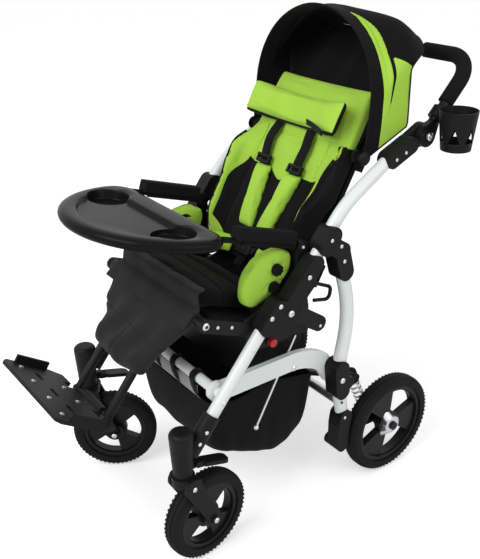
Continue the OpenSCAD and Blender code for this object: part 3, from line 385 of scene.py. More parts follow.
def button_head(tree, start):
    """Button head on every spot, turned to the spot's facing."""
    body = add(tree, "GeometryNodeMeshCylinder", {"Vertices": 18})
    wire(tree, (start, "Head radius", body, "Radius"), (start, "Head height", body, "Depth"))
    shape, top = body.outputs["Mesh"], body.outputs["Top"]
    for share, narrow in ((0.4, 0.72), (0.0, 0.62), (-0.7, 1.0)):
        lift = add(tree, "ShaderNodeMath", {1: share}, operation="MULTIPLY")
        pull = add(tree, "GeometryNodeExtrudeMesh", {"Individual": False})
        close = add(tree, "GeometryNodeScaleElements", {"Scale": narrow})
        tree.links.new(shape, pull.inputs["Mesh"])
        tree.links.new(top, pull.inputs["Selection"])
        wire(tree, (start, "Head height", lift, 0), (lift, 0, pull, "Offset Scale"),
             (pull, "Mesh", close, "Geometry"), (pull, "Top", close, "Selection"))
        shape, top = close.outputs["Geometry"], pull.outputs["Top"]
    facing = add(tree, "GeometryNodeInputNamedAttribute", {"Name": "facing"}, data_type="FLOAT_VECTOR")
    size = add(tree, "GeometryNodeInputNamedAttribute", {"Name": "size"}, data_type="FLOAT")
    aim = add(tree, "FunctionNodeAlignRotationToVector", axis="Z")
    wire(tree, (facing, "Attribute", aim, "Vector"))
    return start.outputs["Spots"], shape, aim.outputs["Rotation"], size.outputs["Attribute"]


def settle(piece):
    """Turns what the modifiers give into the piece's own plain mesh."""
    view = bpy.context.evaluated_depsgraph_get()
    made = bpy.data.meshes.new_from_object(piece.evaluated_get(view))
    piece.modifiers.clear()
    piece.data = made
    return piece


def grow(piece, tree, values):
    """Runs a node tree on a piece, its inputs by name, and keeps the plain mesh."""
    rows = piece.modifiers.new("copies", "NODES")
    rows.node_group = tree
    for item in tree.interface.items_tree:
        if item.in_out == "INPUT" and item.name in values:
            rows[item.identifier] = values[item.name]
    return settle(piece)


def new_piece(name, points, faces, *materials):
    """Mesh object from points in the row frame."""
    mesh = bpy.data.meshes.new(name)
    mesh.from_pydata([tuple(p) for p in points], [], faces)
    for material in materials:
        mesh.materials.append(material)
    made = bpy.data.objects.new(name, mesh)
    scene.collection.objects.link(made)
    return made


def carry(piece, body, slot, *nodes, fill=None):
    """Rides a piece on a body with a slot's finish, in place of CAD nodes where they are named.

    fill is the share of a pad that is filled."""
    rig.ride(piece, body)
    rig.slot(piece, slot)
    if nodes:
        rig.replaces(piece, *nodes)
    if fill:
        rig.padded(piece, fill)


heads = copies_tree("fastener_heads", (("Head radius", "Float"), ("Head height", "Float")), button_head)
bright = finish("bright_zinc", (0.72, 0.73, 0.75), 0.3, scale=700.0, bump=0.03, metal=1.0, drift=0.06)


def fasten(name, body, spots, material=bright):
    """One mesh of fastener heads: each spot is (x, y, z, facing, size) on the drawing."""
    made = new_piece(name, [spot(*s[:3]) for s in spots], [], material)
    facing = made.data.attributes.new("facing", "FLOAT_VECTOR", "POINT")
    facing.data.foreach_set("vector", [n for s in spots for n in s[3]])
    size = made.data.attributes.new("size", "FLOAT", "POINT")
    size.data.foreach_set("value", [s[4] for s in spots])
    grow(made, heads, {"Head radius": 0.0042, "Head height": 0.0024, "Finish": material})
    carry(made, body, "bright_steel")


def sides(x, places, size=1.0):
    """The same places on the outer face of both sides."""
    return [(k * x, y, z, (k, 0, 0), size) for k in (1, -1) for y, z in places]


fasten("front_frame_screws", "front_frame",
       sides(224.4, [(-64, 536), (-86, 516)], 1.25) + sides(227.4, [(-40, 514)], 1.7)
       + sides(220.8, [(-203, 363)], 1.1) + sides(220.8, [(-128, 456)], 0.8)
       + sides(225.4, [(-249, 317), (-266, 297)]) + sides(190.4, [(0, 354)], 1.5))


# Basket: one bag sewn from black polyester and hung from the front cross tube, its bottom in a sagging
# fold.
import bmesh
import numpy as np

weave, weave_in, weave_out = effect("cloth_weave", (("Threads", 190.0), ("Drift", 0.12)))
thread_at = add(weave, "ShaderNodeTexCoord")
crossed = add(weave, "ShaderNodeMath", operation="MULTIPLY")
for k, lean in enumerate(((0.5, 0.3, 0.8), (-0.4, 0.9, -0.7))):
    turned = add(weave, "ShaderNodeMapping", {"Rotation": lean})
    wave = add(weave, "ShaderNodeTexWave", {"Distortion": 1.2})
    wire(weave, (thread_at, "Object", turned, "Vector"), (turned, 0, wave, "Vector"),
         (weave_in, "Threads", wave, "Scale"), (wave, "Fac", crossed, k))
cloud = add(weave, "ShaderNodeTexNoise", {"Scale": 22.0})
wire(weave, (thread_at, "Object", cloud, "Vector"), (crossed, 0, weave_out, "Height"))
drifting(weave, weave_in, weave_out, cloud)


def cloth(name, colour, second=None, rough=0.88, bump=0.25, drift=0.1, spec=0.07, sheen=0.05):
    """Woven cloth. With a second colour, the piece's panel attribute (metres, above 0 inside) parts the two."""
    made, tree, shader = blank(name, {"Roughness": rough, "Specular IOR Level": spec, "Sheen Weight": sheen})
    skin = add(tree, "ShaderNodeGroup", {"Drift": drift}, node_tree=weave)
    tint = coloured(tree, shader, skin, colour, bump, 0.0006)
    if second:
        panel = add(tree, "ShaderNodeAttribute", attribute_name="panel")
        part = add(tree, "ShaderNodeMapRange", {"From Min": -0.0004, "From Max": 0.0004})
        pick = add(tree, "ShaderNodeMix", {6: (*colour, 1), 7: (*second, 1)}, data_type="RGBA")
        wire(tree, (panel, "Fac", part, "Value"), (part, 0, pick, 0), (pick, 2, tint, 6))
    return made


def grid_faces(rows, columns, around=False, over=False):
    """Quads of a grid of points, row by row, closed round each row or over from the last row to the first."""
    return [(j * columns + i, j * columns + (i + 1) % columns,
             (j + 1) % rows * columns + (i + 1) % columns, (j + 1) % rows * columns + i)
            for j in range(rows - 1 + over) for i in range(columns - 1 + around)]


def evenly(count):
    """Even steps from -1 to 1."""
    return [2 * i / (count - 1) - 1 for i in range(count)]


def smooth(piece, angle=None):
    """Smooth shading, with sharp edges kept above an angle in degrees."""
    for face in piece.data.polygons:
        face.use_smooth = True
    if angle:
        piece.data.set_sharp_from_angle(angle=radians(angle))
    return piece


def ease(a, b, t):
    """Smooth step from 0 at a to 1 at b."""
    k = np.clip((t - a) / (b - a), 0, 1)
    return k * k * (3 - 2 * k)


def whole(piece):
    """Merges doubles and turns all faces outwards."""
    made = bmesh.new()
    made.from_mesh(piece.data)
    bmesh.ops.remove_doubles(made, verts=made.verts, dist=2e-6)
    bmesh.ops.recalc_face_normals(made, faces=made.faces)
    made.to_mesh(piece.data)
    made.free()
    return piece


def walled(piece, thick, offset=0.0, lining=0, angle=None):
    """Gives an open sheet its thickness, and returns the area it was cut to in square metres."""
    area = sum(face.area for face in piece.data.polygons)
    wall = piece.modifiers.new("wall", "SOLIDIFY")
    wall.thickness, wall.offset, wall.material_offset = thick, offset, lining
    smooth(settle(piece), angle)
    return area


BLACK, GREEN = (0.0062, 0.0062, 0.0066), (0.365, 0.61, 0.068)
black_cloth = cloth("black_polyester", BLACK)
grey_lining = cloth("grey_lining", (0.34, 0.345, 0.34), spec=0.12, sheen=0.12)


def basket_spot(u, v):
    """Point of the bag for u across and v along, both from -1 to 1."""
    a, b = sin(u * pi / 2), sin(v * pi / 2)
    y = -48 + b * 148 * (1 - 0.05 * a * a)
    x = a * 152 * (1 - 0.06 * b * b)
    rim = 318 - (y + 200) * 0.28 + 44 * ease(-150, -20, y)
    bottom = 89 + 0.46 * hypot(y, 20)
    deep = (1 - abs(a) ** 18) * (1 - abs(b) ** 18)
    fold = 3 * sin(3 * pi * a) * ease(0.55, 0.9, abs(b)) * deep
    ruck = 2.2 * sin(0.11 * y + 2.0 * a) * sin(5 * b + 1.0) * deep * ease(0.5, 0.95, abs(a))
    return spot(x + ruck, y, rim - (rim - bottom) * deep + fold + 2)


steps = 57
bag = new_piece("basket_bag", [basket_spot(u, v) for v in evenly(steps) for u in evenly(steps)],
                grid_faces(steps, steps), black_cloth)
bag_area = walled(smooth(whole(bag)), 0.0022)
carry(bag, "front_frame", "black_cloth", "basket")
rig.squash(bag, "frame_fold", axis=(0, 0, 1), anchor=spot(0, -48, 318), keep=0.38)
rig.sheet(bag, (0.62, 0.62), "hung", ["front_cross_tube"], area=bag_area)

# Basket apron: a strip of pale grey cloth under the front cross tube, hung there by loops and sewn to the
# front edge of the bag.
drop = [(-196.5, 359.5), (-200, 352), (-200.5, 342), (-199, 331), (-195, 321), (-188, 314)]
apron = new_piece("basket_apron", [spot(x, y, z) for y, z in drop for x in np.linspace(-120, 120, 25)],
                  grid_faces(len(drop), 25), grey_lining)
apron_area = walled(smooth(whole(apron)), 0.0014)
carry(apron, "front_frame", "grey_cloth")
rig.sheet(apron, (0.24, round(apron_area / 0.24, 4)), "hung", ["front_cross_tube"])


def band(name, centres, across, width, thick, material):
    """Flat strap along points of the row frame, across being the direction of its width."""
    points, last = [], len(centres) - 1
    for k, centre in enumerate(centres):
        ahead = (centres[min(k + 1, last)] - centres[max(k - 1, 0)]).normalized()
        wide = Vector(across)
        wide = (wide - wide.dot(ahead) * ahead).normalized()
        points += [centre + width * p * wide + thick * q * ahead.cross(wide)
                   for p, q in ((-0.5, -0.5), (-0.5, 0.5), (0.5, 0.5), (0.5, -0.5))]
    faces = grid_faces(last + 1, 4, around=True) + [(3, 2, 1, 0), tuple(4 * last + i for i in range(4))]
    made = whole(new_piece(name, points, faces, material))
    soften = made.modifiers.new("edge", "BEVEL")
    soften.width, soften.segments, soften.limit_method = thick * 0.3, 2, "ANGLE"
    return smooth(settle(made), 40)


# Basket loops: four straps of black webbing, each slung round the front cross tube and sewn to the
# apron.
webbing = cloth("black_webbing", BLACK, rough=0.8, bump=0.4)
for k, x in enumerate((-112, -36, 40, 116)):
    ring = [spot(x, -195.9 + 15.2 * cos(t), 372.1 + 15.2 * sin(t))
            for t in np.radians(np.arange(-170, 181, 14.0))]
    ring += [spot(x, y, z) for y, z in ((-207.5, 352), (-201, 333), (-191, 314))]
    loop = band(f"basket_loop_{k}", ring, (1, 0, 0), 0.018, 0.0016, webbing)
    carry(loop, "front_frame", "black_cloth")

# Castors: black moulded forks with a swivel lock lever, wheels with three broad spokes moulded in black,
# rubber tyres and bright axle bolts.
rim_black = finish("black_rim", (0.0085, 0.0085, 0.009), 0.4, scale=800.0, bump=0.05, spec=0.2)
rubber = finish("tyre_rubber", (0.0088, 0.0087, 0.0085), 0.72, scale=520.0, bump=0.25, spec=0.13, drift=0.3)
HANDS = ((1, "left"), (-1, "right"))
castor_pivot, castor_turn = (208, -298), {1: radians(7), -1: radians(-33)}


def castor_spot(k, x, y, z):
    """Point of a castor drawn straight, turned as in the rest pose: k is 1 on the left."""
    c, s = cos(castor_turn[k]), sin(castor_turn[k])
    return (k * castor_pivot[0] + x * c - y * s, castor_pivot[1] + x * s + y * c, z)


for k, hand in HANDS:
    dress(moulded, f"castor_fork_{hand}", f"castor_lock_{hand}")
    dress(rim_black, f"front_rim_{hand}", f"rear_rim_{hand}")
    dress(rubber, f"front_tyre_{hand}", f"rear_tyre_{hand}")
    c, s = cos(castor_turn[k]), sin(castor_turn[k])
    fasten(f"castor_bolts_{hand}", f"castor_{hand}",
           [(*castor_spot(k, face * x, y, z), (face * c, face * s, 0), size)
            for face in (1, -1) for x, y, z, size in ((30.2, 4, 205, 1.3), (35.2, 53, 100, 1.5))])


# Tread blocks: short rubber lugs moulded with the tyre, in two rows on the shoulders of each wheel,
# the rows half a step apart.
def ring_of_lugs(tree, start):
    """Rubber lugs round a wheel that lies flat."""
    circle = add(tree, "GeometryNodeMeshCircle")
    block = add(tree, "GeometryNodeMeshCube", {"Size": (0.0022, 0.0042, 0.0075)})
    at = add(tree, "GeometryNodeInputPosition")
    aim = add(tree, "FunctionNodeAlignRotationToVector", axis="X")
    wire(tree, (start, "Count", circle, "Vertices"), (start, "Radius", circle, "Radius"),
         (at, 0, aim, "Vector"))
    return circle.outputs["Mesh"], block.outputs["Mesh"], aim.outputs["Rotation"]


lugs = copies_tree("tread_lugs", (("Radius", "Float"), ("Count", "Int")), ring_of_lugs)
lug_sunk, row_out = 0.0040, 0.0128
rear_axle = (222, 262, 123)


def tread(name, body, wheel_r, count, centre, yaw):
    """Two rows of lugs on one tyre whose axle points along x, turned by yaw about the upright."""
    flat = new_piece(name, [(0, 0, 0)], [], rubber)
    grow(flat, lugs, {"Radius": wheel_r - lug_sunk, "Count": count, "Finish": rubber})
    row = np.array([v.co for v in flat.data.vertices])
    faces = [tuple(f.vertices) for f in flat.data.polygons]
    bpy.data.objects.remove(flat)
    # The circle lies flat: stand it upright with the axle on x, and move each row out to a shoulder.
    r = np.hypot(row[:, 0], row[:, 1])
    c, s = cos(yaw), sin(yaw)
    points = []
    for k in (1, -1):
        at = np.arctan2(row[:, 1], row[:, 0]) + (pi / count if k < 0 else 0)
        x, y = row[:, 2] + k * row_out, r * np.sin(at)
        points.append(np.stack([x * c - y * s, x * s + y * c, -r * np.cos(at)], 1) + np.array(centre))
    faces += [tuple(i + len(row) for i in f) for f in faces]
    made = whole(new_piece(name, np.concatenate(points), faces, rubber))
    carry(made, body, "black_plastic")


for k, hand in HANDS:
    tread(f"front_tread_{hand}", f"front_wheel_{hand}", 0.100, 56, spot(*castor_spot(k, 0, 53, 100)),
          castor_turn[k])
    tread(f"rear_tread_{hand}", f"rear_wheel_{hand}", 0.123, 68, spot(k * rear_axle[0], *rear_axle[1:]), 0.0)

# Rear frame: white bent push tubes and rear legs in black moulded joints and brackets, a bare steel
# cross tube, black coated swing arms and coil springs of bright wire.
silver = finish("bare_steel", (0.62, 0.63, 0.65), 0.34, scale=600.0, bump=0.04, metal=1.0, drift=0.1)
satin = finish("black_satin_coat", (0.0072, 0.0072, 0.0077), 0.4, scale=1200.0, bump=0.05, spec=0.17)
dress(white_coat, "push_tube_left", "push_tube_right", "rear_leg_left", "rear_leg_right")
dress(moulded, "joint_uppers", "leg_brackets", "suspension_tops", "suspension_feet", "handle_clamps",
      "brake_pedal")
dress(silver, "rear_cross_tube")
dress(satin, "swing_arm_left", "swing_arm_right")
fasten("rear_frame_screws", "rear_frame",
       sides(224.4, [(9, 578)], 1.25) + sides(228.9, [(62, 645), (88, 626), (98, 590)])
       + sides(224.4, [(262, 786), (236, 776)], 0.9) + sides(226.9, [(326, 809)], 2.0)
       + sides(228.9, [(107, 300)], 1.6) + sides(228.4, [(120, 196)], 0.9))
fasten("rear_leg_plugs", "rear_frame", sides(224.9, [(112, 238), (110, 250)], 0.7), material=satin)


def sweep(name, centres, radius, sides_n, material):
    """Round tube along points of the row frame, closed at both ends."""
    rings, last = [], len(centres) - 1
    out = (centres[1] - centres[0]).normalized().orthogonal().normalized()
    for k, centre in enumerate(centres):
        ahead = (centres[min(k + 1, last)] - centres[max(k - 1, 0)]).normalized()
        out = (out - out.dot(ahead) * ahead).normalized()
        side = ahead.cross(out)
        rings += [centre + radius * (cos(t) * out + sin(t) * side)
                  for t in (2 * pi * i / sides_n for i in range(sides_n))]
    faces = grid_faces(last + 1, sides_n, around=True)
    faces += [tuple(range(sides_n))[::-1], tuple(last * sides_n + i for i in range(sides_n))]
    return smooth(whole(new_piece(name, rings, faces, material)), 50)


spring_x, coil_r, turns, per_turn, seat_gap = 186, 11, 7, 28, 2.9
spring_top, spring_low = np.array((181.0, 253.0)), np.array((227.0, 150.0))
spring_length = np.linalg.norm(spring_low - spring_top)
along = (spring_low - spring_top) / spring_length
across = np.array((along[1], -along[0]))
for k, hand in HANDS:
    helix = []
    for i in range(turns * per_turn + 1):
        t = 2 * pi * i / per_turn
        down = seat_gap + (spring_length - 2 * seat_gap) * i / (turns * per_turn)
        y, z = spring_top + along * down + across * coil_r * sin(t)
        helix.append(spot(k * (spring_x + coil_r * cos(t)), y, z))
    coil = sweep(f"coil_spring_{hand}", helix, 0.0025, 12, bright)
    carry(coil, "rear_frame", "bright_steel", f"spring_{hand}")
    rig.squash(coil, f"suspension_{hand}", axis=(0, along[0], along[1]), anchor=spot(k * spring_x, *spring_top),
              keep=0.9)

# Rear wheel hubs: a star with three arms, pressed from bright steel and clipped over the end of each
# moulded hub.
star_steps, star_turn = 96, radians(80.6)
for k, hand in HANDS:
    points = []
    for a in (2 * pi * i / star_steps for i in range(star_steps)):
        lobe = ((1 + cos(3 * (a - star_turn))) / 2) ** 2
        star = 22.2 + 13 * lobe
        section = ((10.8, 22.5), (19.5, 22.6), (21.9, 21.2), (star, 9.9 + 0.7 * (1 - lobe)), (star, 9.05),
                   (21.1, 9.05), (21.1, 22.05), (10.8, 22.05))
        points += [spot(k * (rear_axle[0] + x), rear_axle[1] + r * sin(a), rear_axle[2] - r * cos(a))
                   for r, x in section]
    hub = new_piece(f"hub_star_{hand}", points, grid_faces(star_steps, len(section), True, True), bright)
    carry(smooth(whole(hub), 35), f"rear_wheel_{hand}", "bright_steel")

# Push bar: a bent tube with a black satin coat, foam grips drawn over its corners, and a moulded cup
# holder clamped to the left arm.
foam = finish("black_foam", (0.0082, 0.0082, 0.0085), 0.88, scale=420.0, bump=0.5, spec=0.09, drift=0.2)
dress(satin, "push_bar")
dress(foam, "handle_grips")
dress(moulded, "cup_holder")

# Seat unit: black coated steel plates and cross bars, a red press knob and black star knobs, a steel
# release rod and a wire loop.
red = finish("red_plastic", (0.42, 0.012, 0.014), 0.36, spec=0.45)
dress(satin, "seat_frame", "release_loop", "legrest_frame")
dress(moulded, "hip_knob_left_upper", "hip_knob_left_lower", "hip_knob_right_upper", "hip_knob_right_lower")
dress(red, "tilt_knob")
dress(bright, "release_rod")
dress(black_cloth, "backrest_shell")
fasten("seat_screws", "seat", sides(187.9, [(-190, 516), (-157, 505), (74, 431), (22, 628)], 0.9)
       + sides(186.5, [(-217, 526.6)], 1.9))


def drawn(points):
    """Points of the row frame in the drawing's millimetres."""
    return np.asarray(points) * 1000 + np.array((*MIDDLE, 0))


def leaning(y0, z0, degrees):
    """Two functions: from a leaning unit's millimetres to the row frame, and back again."""
    c, s = cos(radians(degrees)), sin(radians(degrees))

    def out(x, y, z):
        return spot(x, y0 + y * c + z * s, z0 + z * c - y * s)

    def back(points):
        p = drawn(points)
        y, z = p[:, 1] - y0, p[:, 2] - z0
        return np.stack([p[:, 0], y * c - z * s, z * c + y * s], 1)

    return out, back


seat_out, seat_back = leaning(-3, 515, 20)
back_out, back_back = leaning(-3, 515, 30)
leg_out, leg_back = leaning(-216.945, 526.571, 39)


# Seat cushion: a foam pad in black polyester with two sewn channels across it, laid on the pan of the
# seat frame.
def triples(rows, field):
    """Three numbers of every row of mesh data as an array."""
    flat = np.empty(len(rows) * 3)
    rows.foreach_get(field, flat)
    return flat.reshape(-1, 3)


def spots_of(piece):
    """All points of a mesh."""
    return triples(piece.data.vertices, "co")


def facing_of(piece):
    """All point normals of a mesh."""
    return triples(piece.data.vertex_normals, "vector")


def put(piece, points):
    """Moves the mesh's points."""
    piece.data.vertices.foreach_set("co", np.asarray(points).ravel())
    piece.data.update()


def pad_mesh(name, place, point, nu, nv, material):
    """Closed pad from point(u, v, side) in the unit's millimetres: a front skin, a back skin and a rim."""
    points, faces, n = [], [], nu * nv
    for side in (1, -1):
        points += [place(*point(u, v, side)) for v in evenly(nv) for u in evenly(nu)]
    for f in grid_faces(nv, nu):
        faces += [f, tuple(n + i for i in f[::-1])]
    rim = (list(range(nu)) + [j * nu + nu - 1 for j in range(1, nv)]
           + [(nv - 1) * nu + i for i in range(nu - 2, -1, -1)] + [j * nu for j in range(nv - 2, 0, -1)])
    faces += [(a, b, n + b, n + a) for a, b in zip(rim, rim[1:] + rim[:1])]
    return whole(new_piece(name, points, faces, material))


def finer(piece, levels):
    """Subdivides a piece for good."""
    more = piece.modifiers.new("finer", "SUBSURF")
    more.levels = more.render_levels = levels
    return smooth(settle(piece))


def plump(piece, voxel=0.005, inset=0.0, cap=0.006, sewn=None):
    """Padded fabric: an even mesh, blown up a little as cloth, each point's motion capped, then subdivided.

    sewn(points, normals) gives 1 where the cover is sewn down and 0 elsewhere."""
    even = piece.modifiers.new("even", "REMESH")
    even.mode, even.voxel_size = "VOXEL", voxel
    settle(piece)
    rest, facing = spots_of(piece), facing_of(piece)
    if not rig.quick():
        start, frames = rest - inset * facing, 20
        put(piece, start)
        cloth_run = piece.modifiers.new("swell", "CLOTH")
        run = cloth_run.settings
        run.quality, run.mass = 4, 0.3
        run.use_pressure, run.uniform_pressure_force = True, 6.0
        run.tension_stiffness = run.compression_stiffness = 18.0
        run.shear_stiffness, run.bending_stiffness = 8.0, 0.6
        run.effector_weights.gravity = 0.0
        cloth_run.point_cache.frame_start, cloth_run.point_cache.frame_end = 1, frames
        if sewn is not None:
            group = piece.vertex_groups.new(name="sewn")
            for k, w in enumerate(sewn(rest, facing)):
                if w > 0.05:
                    group.add([k], float(w), "REPLACE")
            run.vertex_group_mass = "sewn"
        for at in range(1, frames + 1):
            scene.frame_set(at)
        settle(piece)
        scene.frame_set(1)
        piece.vertex_groups.clear()
        moved = spots_of(piece) - start
        far = np.linalg.norm(moved, axis=1, keepdims=True)
        put(piece, start + moved * np.minimum(1, cap / np.maximum(far, 1e-9)))
    return finer(piece, 1)


def sink(piece, depth):
    """Presses seams into a pad: depth in millimetres along the inward normal, for each point."""
    put(piece, spots_of(piece) - facing_of(piece) * np.asarray(depth)[:, None] / 1000)


def groove(t, at, half):
    """1 on a line and 0 beyond half its width."""
    return np.clip(1 - np.abs(t - at) / half, 0, 1) ** 2


def gather(t):
    """Draws points of a pad closer towards its rim."""
    return sin(t * pi / 2)


def fullness(a, b, m, n):
    """Fullness of a pad: 1 in its middle and 0 at its rim, the steeper the higher the powers."""
    return sqrt(max(0, (1 - a ** m) * (1 - b ** n)))


def cushion(u, v, side):
    a, b = gather(u), gather(v)
    full = fullness(a, b, 6, 6)
    top = -15 + 15 * full - 6 * ease(-0.6, -1.0, b)
    return (a * 141 * (1 - 0.05 * b * b) * (1 - 0.02 * (1 - b * b)), -114 + b * 94 * (1 - 0.05 * a * a),
            top if side > 0 else -48 + 9 * (1 - full))


def cushion_lines(points, normals):
    """1 on the two channels of the cushion."""
    p = seat_back(points)
    return np.maximum(groove(p[:, 1], -140, 7), groove(p[:, 1], -82, 7)) * (p[:, 2] > -24)


seat_pad = pad_mesh("seat_cushion_cover", seat_out, cushion, 33, 25, black_cloth)
plump(seat_pad, inset=0.001, sewn=cushion_lines)
sink(seat_pad, 3.5 * cushion_lines(spots_of(seat_pad), facing_of(seat_pad)))
carry(seat_pad, "seat", "black_cloth", "seat_cushion", fill=0.7)

# Hip guards: rounded side pads of foam in green polyester, each clamped to the seat plate by two star
# knobs that dimple the cloth.
green_cloth = cloth("green_polyester", GREEN, rough=0.86, drift=0.07)
for k, hand in HANDS:
    def hip(u, v, side):
        a, b = gather(u), gather(v)
        g = sqrt(1 - (0.75 if a * b > 0 else 0.6) * a * a * b * b)
        slack = 1 - fullness(a, b, 6, 6)
        return (k * (175.5 - 9 * slack if side > 0 else 146 + 8 * slack), -56 + 62 * a * g + 7 * b,
                578 + 52 * b * g + 16 * a * (1 - 0.4 * b))

    guard = pad_mesh(f"hip_pad_{hand}", spot, hip, 31, 27, green_cloth)
    plump(guard, voxel=0.0045, cap=0.0045)
    x, y, z = drawn(spots_of(guard)).T
    near = np.minimum(np.hypot(y + 38, z - 592), np.hypot(y + 46, z - 556))
    crease = 1.2 * np.sin(np.arctan2(z - 575, y + 42) * 9) * np.exp(-((near - 18) / 9) ** 2)
    sink(guard, (4.5 * np.exp(-(near / 14) ** 2) + crease) * (np.abs(x) > 160))
    carry(guard, "seat", "green_cloth", f"hip_guard_{hand}", fill=0.75)


# Back pad: one moulded foam pad with side bolsters, black below, green above and along the inner edge
# of each bolster, with black piping round the bolsters.
def back_point(u, v, side):
    a, b = gather(u), gather(v)
    z = 16 + 442 * (b + 1) / 2
    half = 143 + 14 * ease(170, 225, z)
    full = fullness(a, b, 10, 12)
    bolster = 82 * (1 - ease(255, 330, z)) * ease(-20, 110, z)
    forward = bolster * abs(a) ** 9 * (0.55 + 0.45 * full)
    return (a * half * (1 - 0.05 * b ** 4), -forward + 14 * (1 - full) if side > 0 else 48 - 8 * (1 - full), z)


def bolster_rims(p):
    """Foremost line of each bolster on a mesh: heights, and x, y for each side."""
    heights, lines = np.arange(34.0, 300.0, 9.0), {}
    for k in (1, -1):
        line = []
        for h in heights:
            close = p[(np.abs(p[:, 2] - h) < 7) & (p[:, 0] * k > 118)]
            line.append(close[np.argmin(close[:, 1])][:2])
        lines[k] = np.array(line)
        for _ in range(3):
            lines[k][1:-1] = (lines[k][:-2] + 2 * lines[k][1:-1] + lines[k][2:]) / 4
    return heights, lines


def back_panels(p, normals):
    """Millimetres inside the green part of the back pad."""
    heights, lines = bolster_rims(p)
    x, y, z = np.abs(p[:, 0]), p[:, 1], p[:, 2]
    mean = (np.abs(lines[1]) * (1, -1) + np.abs(lines[-1]) * (1, -1)) / 2
    rim_x, rim_y = (np.interp(z, heights, mean[:, n]) for n in (0, 1))
    above = z - 238 + 20 * np.exp(-(x / 26) ** 2) - 12 * ease(95, 130, x)
    strip = np.where(x > 100, rim_y + 7 + 5 * ease(60, 150, z) + 22 * ease(175, 240, z) - y, -60)
    low = np.where(x > 80, 45 + 0.91 * (x - 85) - z, -60)
    turned_out = (0.12 - normals[:, 0] * np.sign(p[:, 0])) * 14
    behind_rim = np.where(y > rim_y + 22, np.minimum(turned_out, rim_x - 14 - x), turned_out)
    outer = np.where((x > 100) & (z < 330), behind_rim, 40 - y)
    return np.minimum(np.maximum(np.maximum(above, strip), low), np.minimum(outer, 30 - y))


def back_lines(points, normals):
    """1 on the seams of the back pad."""
    p = back_back(points)
    x, y, z = np.abs(p[:, 0]), p[:, 1], p[:, 2]
    # Weight of the sewn seams pressed into the pad; nothing is painted here.
    seam_and_painted_shadow = groove(back_panels(p, normals), 0, 5) * (y < 8)
    return np.maximum(seam_and_painted_shadow, groove(x, 104, 6) * (z < 330) * (y < 10) * (y > -14))


def paint(piece, value):
    """Writes the panel attribute in metres, from millimetres."""
    layer = piece.data.attributes.new("panel", "FLOAT", "POINT")
    layer.data.foreach_set("value", np.asarray(value, dtype=float) / 1000)


two_tone = cloth("black_and_green_polyester", BLACK, second=GREEN, rough=0.86, drift=0.07)
back_pad = pad_mesh("back_pad_cover", back_out, back_point, 61, 61, two_tone)
plump(back_pad, voxel=0.006, inset=0.001, sewn=back_lines)
x, y, z = back_back(spots_of(back_pad)).T
sink(back_pad, 2.2 * back_lines(spots_of(back_pad), facing_of(back_pad))
     + (y < 6) * (1.3 * np.sin(z / 13 + x / 31) * np.sin(x / 24) ** 2))
here = back_back(spots_of(back_pad))
paint(back_pad, back_panels(here, facing_of(back_pad)))
carry(back_pad, "back", "green_cloth", "backrest_pad", fill=0.8)
rim_heights, rim_lines = bolster_rims(here)
for k, hand in HANDS:
    rim = [back_out(x + 0.8 * k, y + 1.0, z) for (x, y), z in zip(rim_lines[k], rim_heights)]
    piping = sweep(f"bolster_piping_{hand}", rim, 0.0023, 10, black_cloth)
    carry(piping, "back", "black_cloth")

# Seat hinge cover: a flap of black polyester over the hinge, sewn to the rear of the cushion and to the
# foot of the back pad.
flap_rows = [seat_out(0, -46, -44), seat_out(0, -24, -46), seat_out(0, -6, -44), back_out(0, 20, -12),
             back_out(0, 34, 2), back_out(0, 44, 22), back_out(0, 46, 44)]
flap = new_piece("hinge_cover", [Vector((spot(x, 0, 0).x, p.y, p.z))
                                 for p in flap_rows for x in np.linspace(-139, 139, 29)],
                 grid_faces(len(flap_rows), 29), black_cloth)
flap_area = walled(finer(flap, 2), 0.0016)
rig.blend(flap, "seat", "back", seat_out(0, -20, -46), back_out(0, 44, 30))
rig.slot(flap, "black_cloth")
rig.sheet(flap, (0.279, round(flap_area / 0.278, 4)), "hung", ["seat_cushion_cover"], area=flap_area)


# Harness: two green padded shoulder covers with a black bar buckle at the top of each, black webbing up
# to the back and down to one black buckle, and two small green lap pads.
def moulding(low, high, edge):
    """Black block with rounded edges between two corners of the back unit, in millimetres."""
    xs, ys, zs = zip(low, high)
    corners = [back_out(x, y, z) for z in zs for y in ys for x in xs]
    made = whole(new_piece("moulding", corners, [(0, 1, 3, 2), (4, 6, 7, 5), (0, 4, 5, 1), (2, 3, 7, 6),
                                                 (0, 2, 6, 4), (1, 5, 7, 3)], moulded))
    round_off = made.modifiers.new("edge", "BEVEL")
    round_off.width, round_off.segments = edge / 1000, 3
    return smooth(settle(made), 45)


def join(pieces, name):
    """One object from several."""
    made = bmesh.new()
    for piece in pieces:
        made.from_mesh(piece.data)
    made.to_mesh(pieces[0].data)
    made.free()
    for piece in pieces[1:]:
        bpy.data.objects.remove(piece)
    pieces[0].name = name
    return pieces[0]


def strap_x(k, z):
    """Middle of a shoulder strap at a height on the back."""
    return k * (45 + 14 * (z - 195) / 95)


def lap_y(t):
    """How far a lap strap comes forward on its way out to the side, t from 0 to 1."""
    return -12 * t - 50 * t ** 6


def green_pad(name, form, nv, cap, fill):
    """Small green pad on the back unit."""
    cover = pad_mesh(name, back_out, form, 21, nv, green_cloth)
    plump(cover, voxel=0.004, cap=cap)
    carry(cover, "back", "green_cloth", fill=fill)
    return cover


